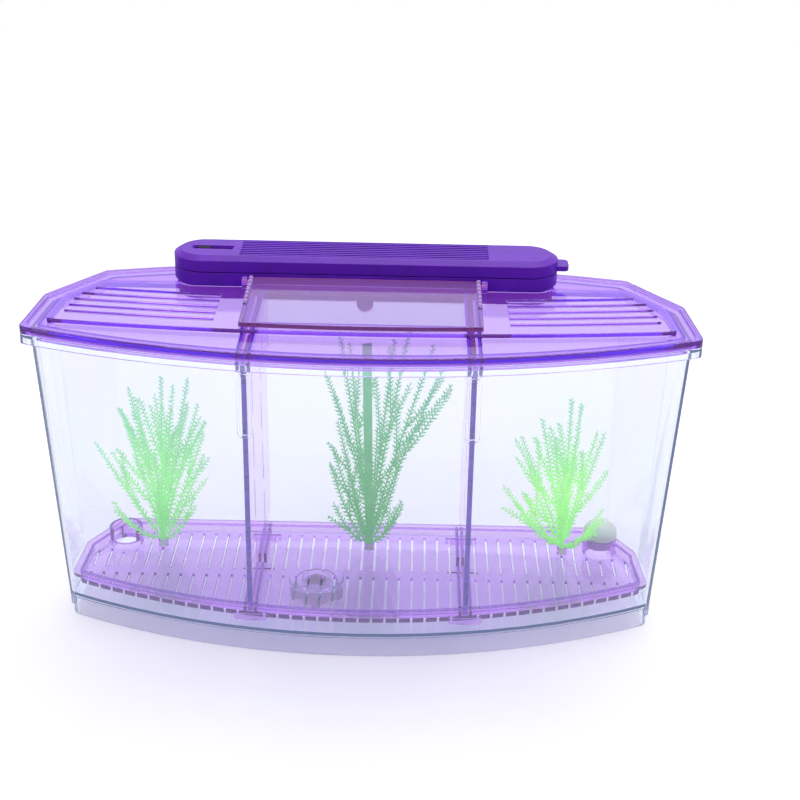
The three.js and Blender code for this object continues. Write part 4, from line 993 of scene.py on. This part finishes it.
class BREEDINGBOX_OT_drain(bpy.types.Operator):
    """Makes the drain's sleeve, seal and plug, and the cap of the right port"""

    bl_idname = "breedingbox.drain"
    bl_label = "Drain and port cap"

    def execute(self, context):
        look = finishes()
        # The same styrene as the tank, polished mould: clear, with a slate rim, partly from a painted slate
        # edge glow
        clear = tinted_clear(
            "clear_styrene_sleeve", look.clear_tint, look.clear_run, 1.5, 0.0, 0.03, 0.02 * MM, 0.02,
            look.clear_painted_glow,
        )
        self.add_sleeve(clear)
        # Nitrile rubber cord: dull charcoal with no mirror highlight
        rubber = moulded("nitrile_rubber_ring", linear("#34353A"), linear("#26272B"), 0.6, 0.75, 0.3 * MM)
        self.add_seal(rubber)
        # Polypropylene in mid grey, semi-gloss mould: soft highlights on the lobes
        grey = moulded("polypropylene_grey", linear("#3E4655"), linear("#343B48"), 0.3, 0.42, 0.5 * MM, 1.49)
        dressed("drain_plug", "drain_plug_lobes", grey, sizes().edge_radius)
        # Soft white polyethylene: waxy, light goes some way into it
        white = moulded(
            "polyethylene_white", linear("#EEF4EE"), linear("#E2ECE4"), 0.3, 0.42, 0.5 * MM, 1.5,
            **{"Subsurface Weight": 0.3, "Subsurface Scale": 0.8 * MM},
        )
        self.add_cap(white)
        # Nylon wire, drawn smooth: clear, with a soft highlight along its turn
        wire = tinted_clear(
            "clear_nylon_wire", look.clear_tint, look.clear_run, 1.53, 0.02, 0.08, 0.01 * MM, 0.03,
            look.clear_painted_glow,
        )
        self.add_loop(wire)
        return {"FINISHED"}

    def add_sleeve(self, material):
        """A spigot with a flange that falls off in a flat dome."""
        low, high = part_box("drain_sleeve")
        radius, bore, spigot, rim = (high.x - low.x) / 2, 4.5 * MM, 5.6 * MM, 1.0 * MM
        flange = high.z - rim
        dome = [
            (radius - rim * (1 - math.cos(turn)), flange + rim / 2 * (1 + math.sin(turn)))
            for turn in arc_angles(RIGHT_ANGLE, 6)
        ]
        outline = [(bore, low.z), (spigot, low.z), (spigot, flange), (radius, flange), *dome, (bore, high.z)]
        piece = lathed("drain_sleeve_clear", outline + outline[:1], middle_of("drain_sleeve"), material,
                       "drain_sleeve")
        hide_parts("drain_sleeve")

    def add_seal(self, material):
        """A round-cord ring under the flange."""
        low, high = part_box("drain_seal")
        cord = (high.z - low.z) / 2
        outline = ring_outline((high.x - low.x) / 2 - cord, (high.z + low.z) / 2, cord)
        piece = lathed("drain_seal_ring", outline, middle_of("drain_seal"), material, "drain_seal")
        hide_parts("drain_seal")

    def add_cap(self, material):
        """A domed cap with a stem that fits the port."""
        low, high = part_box("port_cap")
        radius, stem = (high.x - low.x) / 2, 4.9 * MM
        base = low.z + 4.0 * MM
        band, top = base + 1.6 * MM, base + 6.0 * MM
        dome = [
            (radius * math.cos(turn), band + (top - band) * math.sin(turn))
            for turn in arc_angles(RIGHT_ANGLE, 12)[:-1]
        ]
        outline = [(0, low.z), (stem, low.z), (stem, base), (radius, base), *dome, (0, top)]
        piece = lathed("port_cap_dome", outline, middle_of("port_cap"), material, "port_cap")
        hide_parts("port_cap")

    def add_loop(self, material):
        """A wire loop that stands on the cap's dome."""
        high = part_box("port_cap")[1]
        wire, radius = 0.35 * MM, 2.2 * MM
        centre = middle_of("port_cap") + Vector((0, 0, high.z - wire - radius))
        upright = Matrix.Translation(centre) @ Matrix.Rotation(RIGHT_ANGLE, 4, "X")
        lathed("port_cap_loop", ring_outline(radius, 0, wire), upright, material, "port_cap")


class BREEDINGBOX_OT_electrics(bpy.types.Operator):
    """Makes what is inside the light bar: board, LEDs, screws, cells and contacts"""

    bl_idname = "breedingbox.electrics"
    bl_label = "Inside the light bar"

    def execute(self, context):
        # Glass-epoxy board under green solder resist: glossy, a little uneven over the copper
        resist = moulded(
            "fr4_green_resist", linear("#1F6B45"), linear("#185A3A"), 0.22, 0.34, 1.4 * MM, 1.52,
            **{"Coat Weight": 0.4, "Coat Roughness": 0.15},
        )
        dressed("led_board", "board_panel", resist, sizes().thin_radius)
        # White PPA housing round a lens of silicone that is yellow with phosphor
        housing = moulded("ppa_white_housing", linear("#F0F0EA"), linear("#E4E4DC"), 0.35, 0.5)
        phosphor = moulded(
            "silicone_phosphor", linear("#F2D65C"), linear("#E8C84A"), 0.15, 0.25, 0.3 * MM, 1.43,
            **{"Subsurface Weight": 0.4, "Subsurface Scale": 0.3 * MM},
        )
        for index in range(1, 7):
            dressed(f"led_{index}", f"led_housing_{index}", housing, sizes().thin_radius)
        self.add_phosphor(phosphor)
        # Zinc-plated steel, rolled and cold headed: bright, with fine drawing marks
        steel = plated("zinc_plated_steel", linear("#C9CBD0"), linear("#A9ADB5"), 0.22, 0.36)
        for side in ("left", "right"):
            self.add_screw(side, steel)
        dressed("contact_plate", "contact_strip", steel, sizes().thin_radius)
        self.add_spring(steel)
        # Shrunk PVC sleeve in plain blue round the bright steel can of a cell
        sleeve = moulded(
            "pvc_sleeve_blue", linear("#3C6FB4"), linear("#33609E"), 0.18, 0.3, 0.9 * MM, 1.53,
            **{"Coat Weight": 0.5, "Coat Roughness": 0.1},
        )
        for index in (1, 2):
            self.add_cell(f"battery_{index}", sleeve, steel)
        return {"FINISHED"}

    def add_phosphor(self, material):
        """One flat dome of phosphor in each LED's cup."""
        radius, flatness, lift = 0.9 * MM, 0.3, 0.31 * MM
        bm = bmesh.new()
        for index in range(1, 7):
            low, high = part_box(f"led_{index}")
            cup = bmesh.ops.create_uvsphere(bm, u_segments=24, v_segments=12, radius=radius)["verts"]
            bmesh.ops.scale(bm, verts=cup, vec=(1, 1, flatness))
            middle = (low + high) / 2
            bmesh.ops.translate(bm, verts=cup, vec=(middle.x, middle.y, low.z + lift))
        new_piece("led_phosphor", bm, body_of("led_1"), material)

    def add_screw(self, side, material):
        """A pan-head screw with a threaded shank."""
        node = f"board_screw_{side}"
        low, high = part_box(node)
        head, shank, core = (high.x - low.x) / 2, 0.6 * MM, 0.45 * MM
        seat, dome_height, point = low.z + 0.7 * MM, 0.35 * MM, 0.4 * MM
        dome = [
            (head * math.sin(turn), low.z + dome_height * (1 - math.cos(turn)))
            for turn in arc_angles(RIGHT_ANGLE, 6)
        ]
        thread = []
        half_pitch, run_out = 0.12 * MM, 0.5 * MM
        count = int((high.z - seat - run_out) / (2 * half_pitch))
        for turn in range(count):
            start = seat + (2 * turn + 1) * half_pitch
            thread += [(core, start), (shank, start + half_pitch)]
        outline = [(0, low.z), *dome[1:], (head, seat), (core, seat), *thread,
                   (core, high.z - point), (0, high.z)]
        bm = turned(outline, middle_of(node), SCREW_STEPS)
        piece = new_piece(f"{node}_thread", bm, body_of(node), material)
        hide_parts(node)

    def add_spring(self, material):
        """A wire spring on its plate, its turns as in the solid."""
        low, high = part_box("contact_spring")
        plate, wire = 0.5 * MM, 0.35 * MM
        turns, steps_a_turn, wide, narrowing = 4, 24, 2.6, 0.9
        middle = (low + high) / 2
        length = high.x - wire - low.x - plate
        steps = turns * steps_a_turn
        points = []
        for step in range(steps + 1):
            share = step / steps
            turn = turns * FULL_TURN * share
            radius = (wide - narrowing * share) * MM
            points.append(Vector((
                low.x + plate + share * length,
                middle.y + radius * math.cos(turn),
                middle.z + radius * math.sin(turn),
            )))
        bm = bmesh.new()
        coil = stem_tubes([(points, 1, 0)], wire, 3)
        bm.from_mesh(coil)
        bpy.data.meshes.remove(coil)
        strip = bmesh.ops.create_cube(bm, size=1)["verts"]
        bmesh.ops.scale(bm, verts=strip, vec=(plate, high.y - low.y, high.z - low.z))
        bmesh.ops.translate(bm, verts=strip, vec=(low.x + plate / 2, middle.y, middle.z))
        edges = list(dict.fromkeys(edge for vert in strip for edge in vert.link_edges))
        bmesh.ops.bevel(
            bm, geom=edges, offset=sizes().thin_radius, segments=2, profile=0.5, affect="EDGES", material=-1
        )
        piece = new_piece("contact_spring_coil", bm, body_of("contact_spring"), material)
        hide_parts("contact_spring")

    def add_cell(self, node, sleeve, steel):
        """A cell on its side: a can with a crimped foot and a raised pole, in a shrunk sleeve."""
        low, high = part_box(node)
        radius = (high.z - low.z) / 2
        middle = (low + high) / 2
        length = high.x - low.x
        nub, pole, foot = 0.8 * MM, 1.9 * MM, 3.6 * MM
        body = length - nub
        # Foot, sleeve with its two rolled ends, shoulder and pole
        outline = [
            (0, 0), (foot, 0), (foot + 0.2 * MM, 0.25 * MM), (radius - 0.5 * MM, 0.25 * MM),
            (radius - 0.15 * MM, 0.1 * MM), (radius, 0.4 * MM), (radius, body - 0.4 * MM),
            (radius - 0.15 * MM, body - 0.05 * MM), (radius - 0.7 * MM, body - 0.05 * MM),
            (radius - 0.9 * MM, body - 0.3 * MM), (pole + 0.6 * MM, body - 0.3 * MM), (pole, body),
            (pole, length - 0.2 * MM), (pole - 0.2 * MM, length), (0, length),
        ]
        lying = Matrix.Translation((low.x, middle.y, middle.z)) @ Matrix.Rotation(RIGHT_ANGLE, 4, "Y")
        bm = turned(outline, lying, LATHE_STEPS)
        piece = new_piece(f"{node}_cell", bm, body_of(node), sleeve)
        piece.data.materials.append(steel)
        sleeve_lip = 0.8 * MM
        for face in piece.data.polygons:
            from_axis = math.hypot(face.center.y - middle.y, face.center.z - middle.z)
            face.material_index = 0 if from_axis > radius - sleeve_lip else 1
        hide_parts(node)


class BREEDINGBOX_PT_sidebar(bpy.types.Panel):
    """Lists the steps that make the box, and the finishes and sizes that they use"""

    bl_idname = "BREEDINGBOX_PT_sidebar"
    bl_label = "Breeding Box"
    bl_space_type = "VIEW_3D"
    bl_region_type = "UI"
    bl_category = "Breeding Box"

    def draw(self, context):
        layout = self.layout
        steps = layout.column(align=True)
        for operator in OPERATORS:
            steps.operator(operator.bl_idname)
        for title, group in (("Finishes", finishes()), ("Sizes", sizes())):
            box = layout.box()
            box.label(text=title)
            for name in type(group).__annotations__:
                box.prop(group, name)


OPERATORS = (
    BREEDINGBOX_OT_stage,
    BREEDINGBOX_OT_tank,
    BREEDINGBOX_OT_tray,
    BREEDINGBOX_OT_plants,
    BREEDINGBOX_OT_drain,
    BREEDINGBOX_OT_lid,
    BREEDINGBOX_OT_light,
    BREEDINGBOX_OT_electrics,
)
CLASSES = (BreedingBoxFinishes, BreedingBoxSizes, *OPERATORS, BREEDINGBOX_PT_sidebar)


def register():
    for cls in CLASSES:
        bpy.utils.register_class(cls)
    bpy.types.Scene.breeding_box_finishes = PointerProperty(type=BreedingBoxFinishes)
    bpy.types.Scene.breeding_box_sizes = PointerProperty(type=BreedingBoxSizes)


def unregister():
    del bpy.types.Scene.breeding_box_sizes
    del bpy.types.Scene.breeding_box_finishes
    for cls in reversed(CLASSES):
        bpy.utils.unregister_class(cls)


def main():
    register()
    bpy.ops.breedingbox.stage()
    bpy.ops.breedingbox.tank()
    bpy.ops.breedingbox.tray()
    bpy.ops.breedingbox.plants()
    bpy.ops.breedingbox.drain()
    bpy.ops.breedingbox.lid()
    bpy.ops.breedingbox.light()
    bpy.ops.breedingbox.electrics()


if __name__ == "__main__":
    main()
